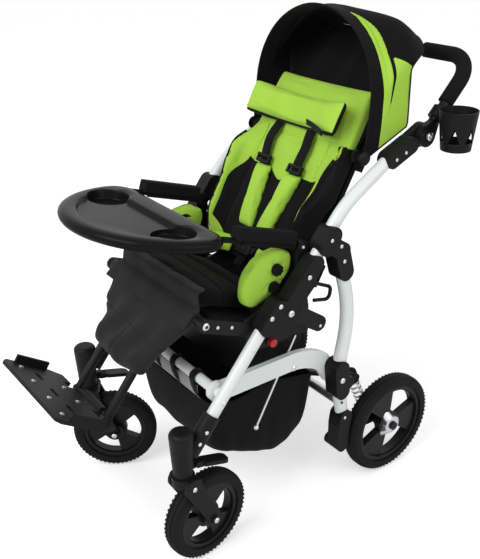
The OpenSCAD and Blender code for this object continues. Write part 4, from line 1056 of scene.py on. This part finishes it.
ACROSS, UPRIGHT, strap_thick = (1, 0, 0), (0, 0, 1), 0.002
covers, straps, plastics = [], [], []
for k, hand in HANDS:
    def shoulder(u, v, side):
        z = 168 + 72 * v
        return (strap_x(k, z) + u * 25 * (1 - 0.10 * v ** 4),
                -2.4 - 5 - 12 * fullness(u, v, 4, 8) if side > 0 else -2.4, z)

    covers.append(green_pad(f"shoulder_pad_{hand}", shoulder, 41, 0.0035, 0.7))
    up = [back_out(strap_x(k, z) - k * 16 * ease(290, 350, z),
                   -9.5 - 7 * sin(pi * (z - 232) / 124), z) for z in np.linspace(232, 352, 16)]
    down = [back_out(k * (29 + 11 * t), -4.5 - 5 * sin(pi * t), 56 + 46 * t)
            for t in np.linspace(0, 1, 9)]
    out = [back_out(k * (26 + 100 * t), -5 + lap_y(t), 50 - 16 * t) for t in np.linspace(0, 1, 18)]
    for run, wide, width in ((up, ACROSS, 0.026), (down, ACROSS, 0.024), (out, UPRIGHT, 0.026)):
        straps.append(band("strap", run, wide, width, strap_thick, webbing))
    for z in (243, 256):
        x = strap_x(k, z)
        plastics.append(moulding((x - 21, -20, z - 3.6), (x + 21, -9, z + 3.6), 2.4))
    for s in (1, -1):
        x = strap_x(k, 250) + s * 19
        plastics.append(moulding((x - 3, -19, 240), (x + 3, -10, 259), 2.2))

    def lap_pad(u, v, side):
        x = 76 + 34 * u
        t = (x - 26) / 100
        base = -6.5 + lap_y(t)
        return (k * x, base - 3 - 7 * fullness(u, v, 6, 4) if side > 0 else base,
                50 - 16 * t + 21 * v * (1 - 0.08 * u * u))

    green_pad(f"lap_pad_{hand}", lap_pad, 15, 0.003, 0.6)
crotch = [back_out(0, -4 - 10 * t, 42 - 30 * t) for t in np.linspace(0, 1, 8)]
straps.append(band("strap", crotch, ACROSS, 0.026, strap_thick, webbing))
carry(join(straps, "harness_straps"), "back", "black_cloth")
plastics += [moulding((-24, -17, 36), (24, -2.5, 66), 4.5), moulding((-9, -19, 43), (9, -14, 59), 3.0),
             moulding((-33, -13, 44), (33, -6, 60), 2.6)]
carry(join(plastics, "harness_buckles"), "back", "black_plastic")
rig.replaces(covers[0], "harness")

# Headrest: a broad green padded band bowed round the head and fixed to the back, with a black edge sewn
# along its foot and a webbing tab.
head_bow = 320.4


def head(u, v, side):
    a = gather(u)
    full = fullness(a, v, 8, 6)
    t, r = radians(28 * a), 306 - 12 * full if side > 0 else 314 + 6 * full
    return (r * sin(t), r * cos(t) - head_bow, 372 + v * 39 * (1 - 0.1 * a ** 6))


head_pad = pad_mesh("headrest_cover", back_out, head, 61, 19, two_tone)
plump(head_pad, inset=0.0005, cap=0.0045)
sink(head_pad, 1.6 * groove(back_back(spots_of(head_pad))[:, 2], 342, 4))
x, y, z = back_back(spots_of(head_pad)).T
paint(head_pad, np.minimum(z - 342, 311 - np.hypot(x, y + head_bow)))
carry(head_pad, "back", "green_cloth", "headrest", fill=0.75)
tab_run = ((292.5, 0.16, 351), (292, 0.25, 347), (292, 0.33, 342), (292, 0.41, 337), (293, 0.47, 333))
tab = band("headrest_tab", [back_out(r * sin(t), r * cos(t) - head_bow, z) for r, t, z in tab_run],
           UPRIGHT, 0.012, 0.0022, webbing)
carry(tab, "back", "black_cloth")

# Hood: one sheet of polyester over two bows, black over the top and at the front edge, with green sides
# and a green pleated gusset behind the front band, and a black lining.
HUB = (182.0, 780.0)
front_angle = 84


def on_hub(x, r, degrees):
    """Point at a radius and an angle from the hood's pivot."""
    a = radians(degrees)
    return spot(x, HUB[0] + r * cos(a), HUB[1] + r * sin(a))


def hood_section(t, k):
    """Half width, radius and slope along the hood: t from 0 at the pivot to 1 at the middle of the roof."""
    w, r, c = 186.5 + 4.3 * k, 283 + 4.3 * k, 180.5 - 85.5 * k
    first, turn_length, flat = r - c - 13, c * pi / 2, w - c
    s = t * (first + turn_length + flat)
    if s < first:
        return w, 13 + s, 0.0
    if s < first + turn_length:
        f = (s - first) / c
        return w - c + c * cos(f), r - c + c * sin(f), f
    return w - c - (s - first - turn_length), r, pi / 2


def hood_hem(r):
    """Lowest angle of the sheet at a radius, in degrees."""
    if r < 199.5:
        return np.degrees(acos(min(cos(radians(23)), 115 / r)))
    return 54.8 - 7.8 * ease(199.5, 275, r)


def gusset_width(t, r):
    """How far behind the front edge the gusset ends."""
    wide = np.interp(r, (0, 60, 108, 170, 254), (36, 43, 48, 54, 56))
    return wide + (30 - wide) * ease(0.62, 0.93, t)


nu, nv, front_band = 141, 61, 33
shares = [1 - abs(u) for u in evenly(nu)]
points, parts = [], []
for j in range(nv):
    for i, t in enumerate(shares):
        low = hood_hem(hood_section(t, 1)[1])
        angle = low + (front_angle - low) * j / (nv - 1)
        x, r, f = hood_section(t, ease(74, 58, angle))
        back_by = r * sin(radians(front_angle - angle))
        wide = gusset_width(t, r)
        # Painted shadow: a narrow black line along the gusset's edge stands in for the shadow in the gap between gusset
        # and green side panel. This is its half width: none near the pivot, widest along the sides, and none on the
        # roof.
        seam_and_painted_shadow = 3.4 * ease(70, 190, r) if r < 215 else 0.0
        parts.append(min(back_by - front_band, max(wide - back_by, 207 - r + 0.06 * (angle - 55)),
                         abs(back_by - wide - 2) - seam_and_painted_shadow))
        pleat = np.clip((back_by - front_band) / max(wide - front_band, 1), 0, 1)
        puff = 3.0 * abs(sin(2 * pi * pleat)) * ease(33, 45, wide) if 0 < pleat < 1 else 0.0
        ripple = 1.1 * sin(0.05 * back_by * (1 + 0.2 * sin(9 * t)) + 7 * t) * ease(0.5, 0.9, t)
        full = 8 * ease(30, 60, back_by) * ease(0.5, 0.75, t)
        out_by = puff * ease(0.25, 0.5, t) + ripple - 1.2 + full
        hand = 1 if i > (nu - 1) / 2 else -1
        points.append(on_hub(hand * (x + out_by * cos(f)), r + out_by * sin(f), angle))
hood_cloth = cloth("hood_black_and_green", BLACK, second=GREEN, rough=0.86, sheen=0.02, drift=0.07)
canopy = new_piece("hood_canopy", points, grid_faces(nv, nu), hood_cloth, black_cloth)
paint(canopy, parts)
made = bmesh.new()
made.from_mesh(canopy.data)
bmesh.ops.recalc_face_normals(made, faces=made.faces)
if max(made.faces, key=lambda f: f.calc_center_median().z).normal.z < 0:
    bmesh.ops.reverse_faces(made, faces=made.faces)
made.to_mesh(canopy.data)
made.free()
canopy_area = walled(canopy, 0.0024, offset=-1.0, lining=1, angle=60)
hood_start, hood_end = on_hub(0, 200, 42), on_hub(0, 200, 77)
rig.blend(canopy, "back", "hood", hood_start, hood_end)
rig.replaces(canopy, "hood_front", "hood_rear")
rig.slot(canopy, "black_cloth")

# Hood curtain: black polyester that closes the gap between the hood's rear edge and the back, with a cord
# sewn along both hems of the hood.
hems = {"rear": points[:nu], "front": points[-nu:]}
edge = [p for p, t in zip(hems["rear"], shares) if hood_section(t, 1)[1] > 150]
rows, middle, half_back = 21, MIDDLE[0] / 1000, 0.152
back_edge = spot(0, HUB[0] + 92, HUB[1] + 100)
drop = []
for v in (j / (rows - 1) for j in range(rows)):
    for p in edge:
        foot = Vector((max(-half_back, min(half_back, p.x + middle)) - middle, back_edge.y, back_edge.z))
        sag = sin(pi * v) * (0.003 + 0.003 * sin(p.x * 70))
        drop.append(p.lerp(foot, v) + Vector((0, 0.6 * sag, -0.8 * sag)) + Vector((0, -0.003, -0.002)))
curtain = smooth(new_piece("hood_curtain", drop, grid_faces(rows, len(edge)), black_cloth))
curtain_area = walled(curtain, 0.0016)
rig.blend(curtain, "back", "hood", hood_start, hood_end)
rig.slot(curtain, "black_cloth")
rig.sheet(curtain, (0.66, round(curtain_area / 0.5, 3)), "hung", ["back_pad_cover"], area=curtain_area)
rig.sheet(canopy, (0.86, 0.31), "stretched", ["backrest_shell"], area=canopy_area)
for label, row in hems.items():
    hem = sweep(f"hood_{label}_hem", row, 0.0019, 8, black_cloth)
    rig.slot(hem, "black_cloth")
    if label == "front":
        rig.ride(hem, "hood")
    else:
        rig.blend(hem, "back", "hood", hood_start, hood_end)


# Hood hinges: a flat button moulded in black plastic, clipped over each pivot pin on the outer side of
# the hood.
def turned_form(name, point, profile, count, material):
    """Solid of revolution: point(radius, height, angle in degrees) for a profile of radius and height."""
    ring = [point(r, h, 360 * i / count) for i in range(count) for r, h in profile]
    return whole(new_piece(name, ring, grid_faces(count, len(profile), True, True), material))


button_profile = [(0.2, 7.0), (7.0, 6.6), (12.5, 5.0), (15.0, 2.2), (15.2, 0.0), (0.2, 0.0)]
for k, hand in HANDS:
    button = turned_form(f"hood_button_{hand}", lambda r, h, a: on_hub(k * (185.6 + h), r, a),
                         button_profile, 40, moulded)
    carry(smooth(button, 40), "hood", "black_plastic")


# Leg rest: a charcoal padded calf support drawn over two sleeves, rolled round the bar at its top, with
# two black coated tubes that slide in the sleeves.
def calf(u, v, side):
    a, b = gather(u), gather(v)
    half = 98 + 66 * ((b + 1) / 2) ** 2
    full = fullness(a, b, 8, 8)
    z = -13.1 - 78 + b * 78 + 12 * a * a * ease(-0.4, -1.0, b) + 6 * ease(0.5, 1.0, b)
    return (a * half * (1 - 0.03 * b * b), -6 - 15 * full if side > 0 else 5 + 12 * full, z)


charcoal = cloth("charcoal_polyester", (0.0175, 0.0175, 0.018), rough=0.8, spec=0.12, sheen=0.08, drift=0.2)
calf_cover = pad_mesh("calf_cover", leg_out, calf, 45, 31, charcoal)
plump(calf_cover, inset=0.0005, cap=0.005)
x, y, z = leg_back(spots_of(calf_cover)).T
seams = 3.2 * groove(z + 0.06 * x, -78, 9) + 2.4 * groove(x - 0.35 * (z + 90), 12, 8) * (z < -70)
ripples = 1.2 * np.sin(x / 15 + z / 19) * ease(-60, -150, z) + 0.7 * np.sin(z / 13 - x / 27)
low = z.min()
folds = 3.6 * np.sin((x - 0.5 * z) / 13 + 1.1 * np.sin(z / 40)) * ease(-25, -70, z) * ease(low + 4, low + 45, z)
sink(calf_cover, (seams + (ripples + folds) * (y < 0)) * (y < 2))
carry(calf_cover, "legrest", "grey_cloth", "calf_pad", fill=0.6)
roll_at = [leg_out(x, 0.1 * sin(x / 17), 0) for x in np.linspace(-160, 160, 41)]
carry(sweep("calf_roll", roll_at, 0.0129, 24, charcoal), "legrest", "grey_cloth")
dress(satin, "footrest_tubes")

# Seat front cover: a sheet of charcoal polyester that runs on from the cushion, over the bar and down to
# the calf support.
front_rows = [seat_out(0, -186, -6), seat_out(0, -202, -9), seat_out(0, -214, -12)]
front_rows += [leg_out(0, 17.2 * sin(t), 17.2 * cos(t)) for t in np.radians((0, -25, -50, -75, -100))]
front_rows += [leg_out(0, -18.2, -14), leg_out(0, -21.5, -26)]
front = new_piece("seat_front_cover", [Vector((spot(x * (0.86 + 0.035 * min(n, 4)), 0, 0).x, p.y, p.z))
                                       for n, p in enumerate(front_rows) for x in np.linspace(-158, 158, 41)],
                  grid_faces(len(front_rows), 41), charcoal)
finer(front, 2)
p = spots_of(front)
ruck = 0.0007 * np.sin(p[:, 0] * 70 + 60 * p[:, 2]) * ease(0.150, 0.120, np.abs(p[:, 0] + middle))
put(front, p + facing_of(front) * ruck[:, None])
front_area = walled(front, 0.0018)
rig.blend(front, "seat", "legrest", seat_out(0, -206, -6), leg_out(0, -10, 14))
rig.slot(front, "grey_cloth")
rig.sheet(front, (0.33, round(front_area / 0.318, 4)), "stretched", ["calf_cover", "seat_cushion_cover"],
         area=front_area)

# Footplate: one plate moulded in black plastic, hinged between the ends of the sliding tubes, with bright
# bolts through it.
dress(moulded, "footplate")
foot_out = leaning(-383.085, 321.405, 34)[0]
up_foot = tuple((foot_out(0, 0, 1) - foot_out(0, 0, 0)) * 1000)
bolts = ((-108, -124), (-37, -128), (38, -128), (108, -134), (24, -52), (-40, -52))
fasten("footplate_bolts", "foot", [(*drawn(foot_out(x, y, 3.9)), up_foot, 1.25) for x, y in bolts])

# Armrests and tray: foam covered arms, and a D shaped tray of glossy charcoal plastic with a thick rolled
# rim and two cup wells, on two rods that slide into the arms.
dress(foam, "armrests")
tray_gloss = finish("tray_plastic", (0.0072, 0.0072, 0.0078), 0.22, scale=1500.0, bump=0.02, spec=0.055)
tray_out = leaning(-160, 698, 8)[0]


def tray_outline(inset, rear):
    """Points of the D outline moved in by an inset, and by more at its straight rear edge."""
    r, c, count = 207 - inset, max(46 - inset, 12), 36
    # Corner circle touches the arc from inside and the straight edge.
    arc_y, cy = -26, -inset - rear - c
    cx = sqrt((r - c) ** 2 - (cy - arc_y) ** 2)
    touch = atan2(cy - arc_y, cx)

    def bow(x, y, radius, start, end, steps):
        return [(x + radius * cos(t), y + radius * sin(t)) for t in np.linspace(start, end, steps)[:-1]]

    line = [(cx * (1 - 2 * i / count), -inset - rear) for i in range(count)]
    return (line + bow(-cx, cy, c, pi / 2, pi - touch, 13)
            + bow(0, arc_y, r, pi - touch, 2 * pi + touch, 4 * count)
            + bow(cx, cy, c, touch, pi / 2, 13))


rim_profile = [(24, -26), (15, -25.6), (9, -24), (4.4, -21), (1.4, -17), (0, -12.5), (0.5, -8.5), (2.6, -4.8),
               (6.4, -1.9), (11.5, -0.4), (18, 0), (30, -0.3), (33.4, -1.0), (35.2, -2.6), (36.4, -6.2),
               (38.4, -8.5), (42, -9)]
rings = [tray_outline(d, 20 * ease(18, 33, d)) for d, _ in rim_profile]
n = len(rings[0])
faces = grid_faces(len(rings), n, around=True)
faces += [tuple(range(n))[::-1], tuple((len(rings) - 1) * n + i for i in range(n))]
points = [tray_out(x, y, h) for (_, h), ring in zip(rim_profile, rings) for x, y in ring]
board = whole(new_piece("tray_board", points, faces, tray_gloss))
well_profile = [(0.01, 12), (46, 12), (46, 0.1), (44, -1.0), (43, -3.4), (42.6, -17), (41.2, -20), (38, -21.2),
                (0.01, -21.2)]
for k, hand in HANDS:
    def well_point(r, h, degrees):
        a = radians(degrees)
        return tray_out(k * 128 + r * cos(a), -82 + r * sin(a), h)

    well = turned_form(f"well_{hand}", well_point, well_profile, 72, tray_gloss)
    cut = board.modifiers.new("well", "BOOLEAN")
    cut.operation, cut.solver, cut.object = "DIFFERENCE", "EXACT", well
    settle(board)
    bpy.data.objects.remove(well)
smooth(board, 38)
arm_c, arm_s = cos(radians(18)), sin(radians(18))
rods = [sweep(f"rod_{hand}", [spot(k * 174, 22 - d * arm_c, 628 + d * arm_s) for d in (40, 90, 140, 198)],
              0.006, 24, tray_gloss) for k, hand in HANDS]
carry(join([board] + rods, "play_tray"), "tray_body", "tray_plastic", "tray")

import json

seen_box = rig.bounds()
with open("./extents.json", "w") as note:
    json.dump({"cad": [list(c) for c in cad_box], "visual": [list(c) for c in seen_box]}, note)
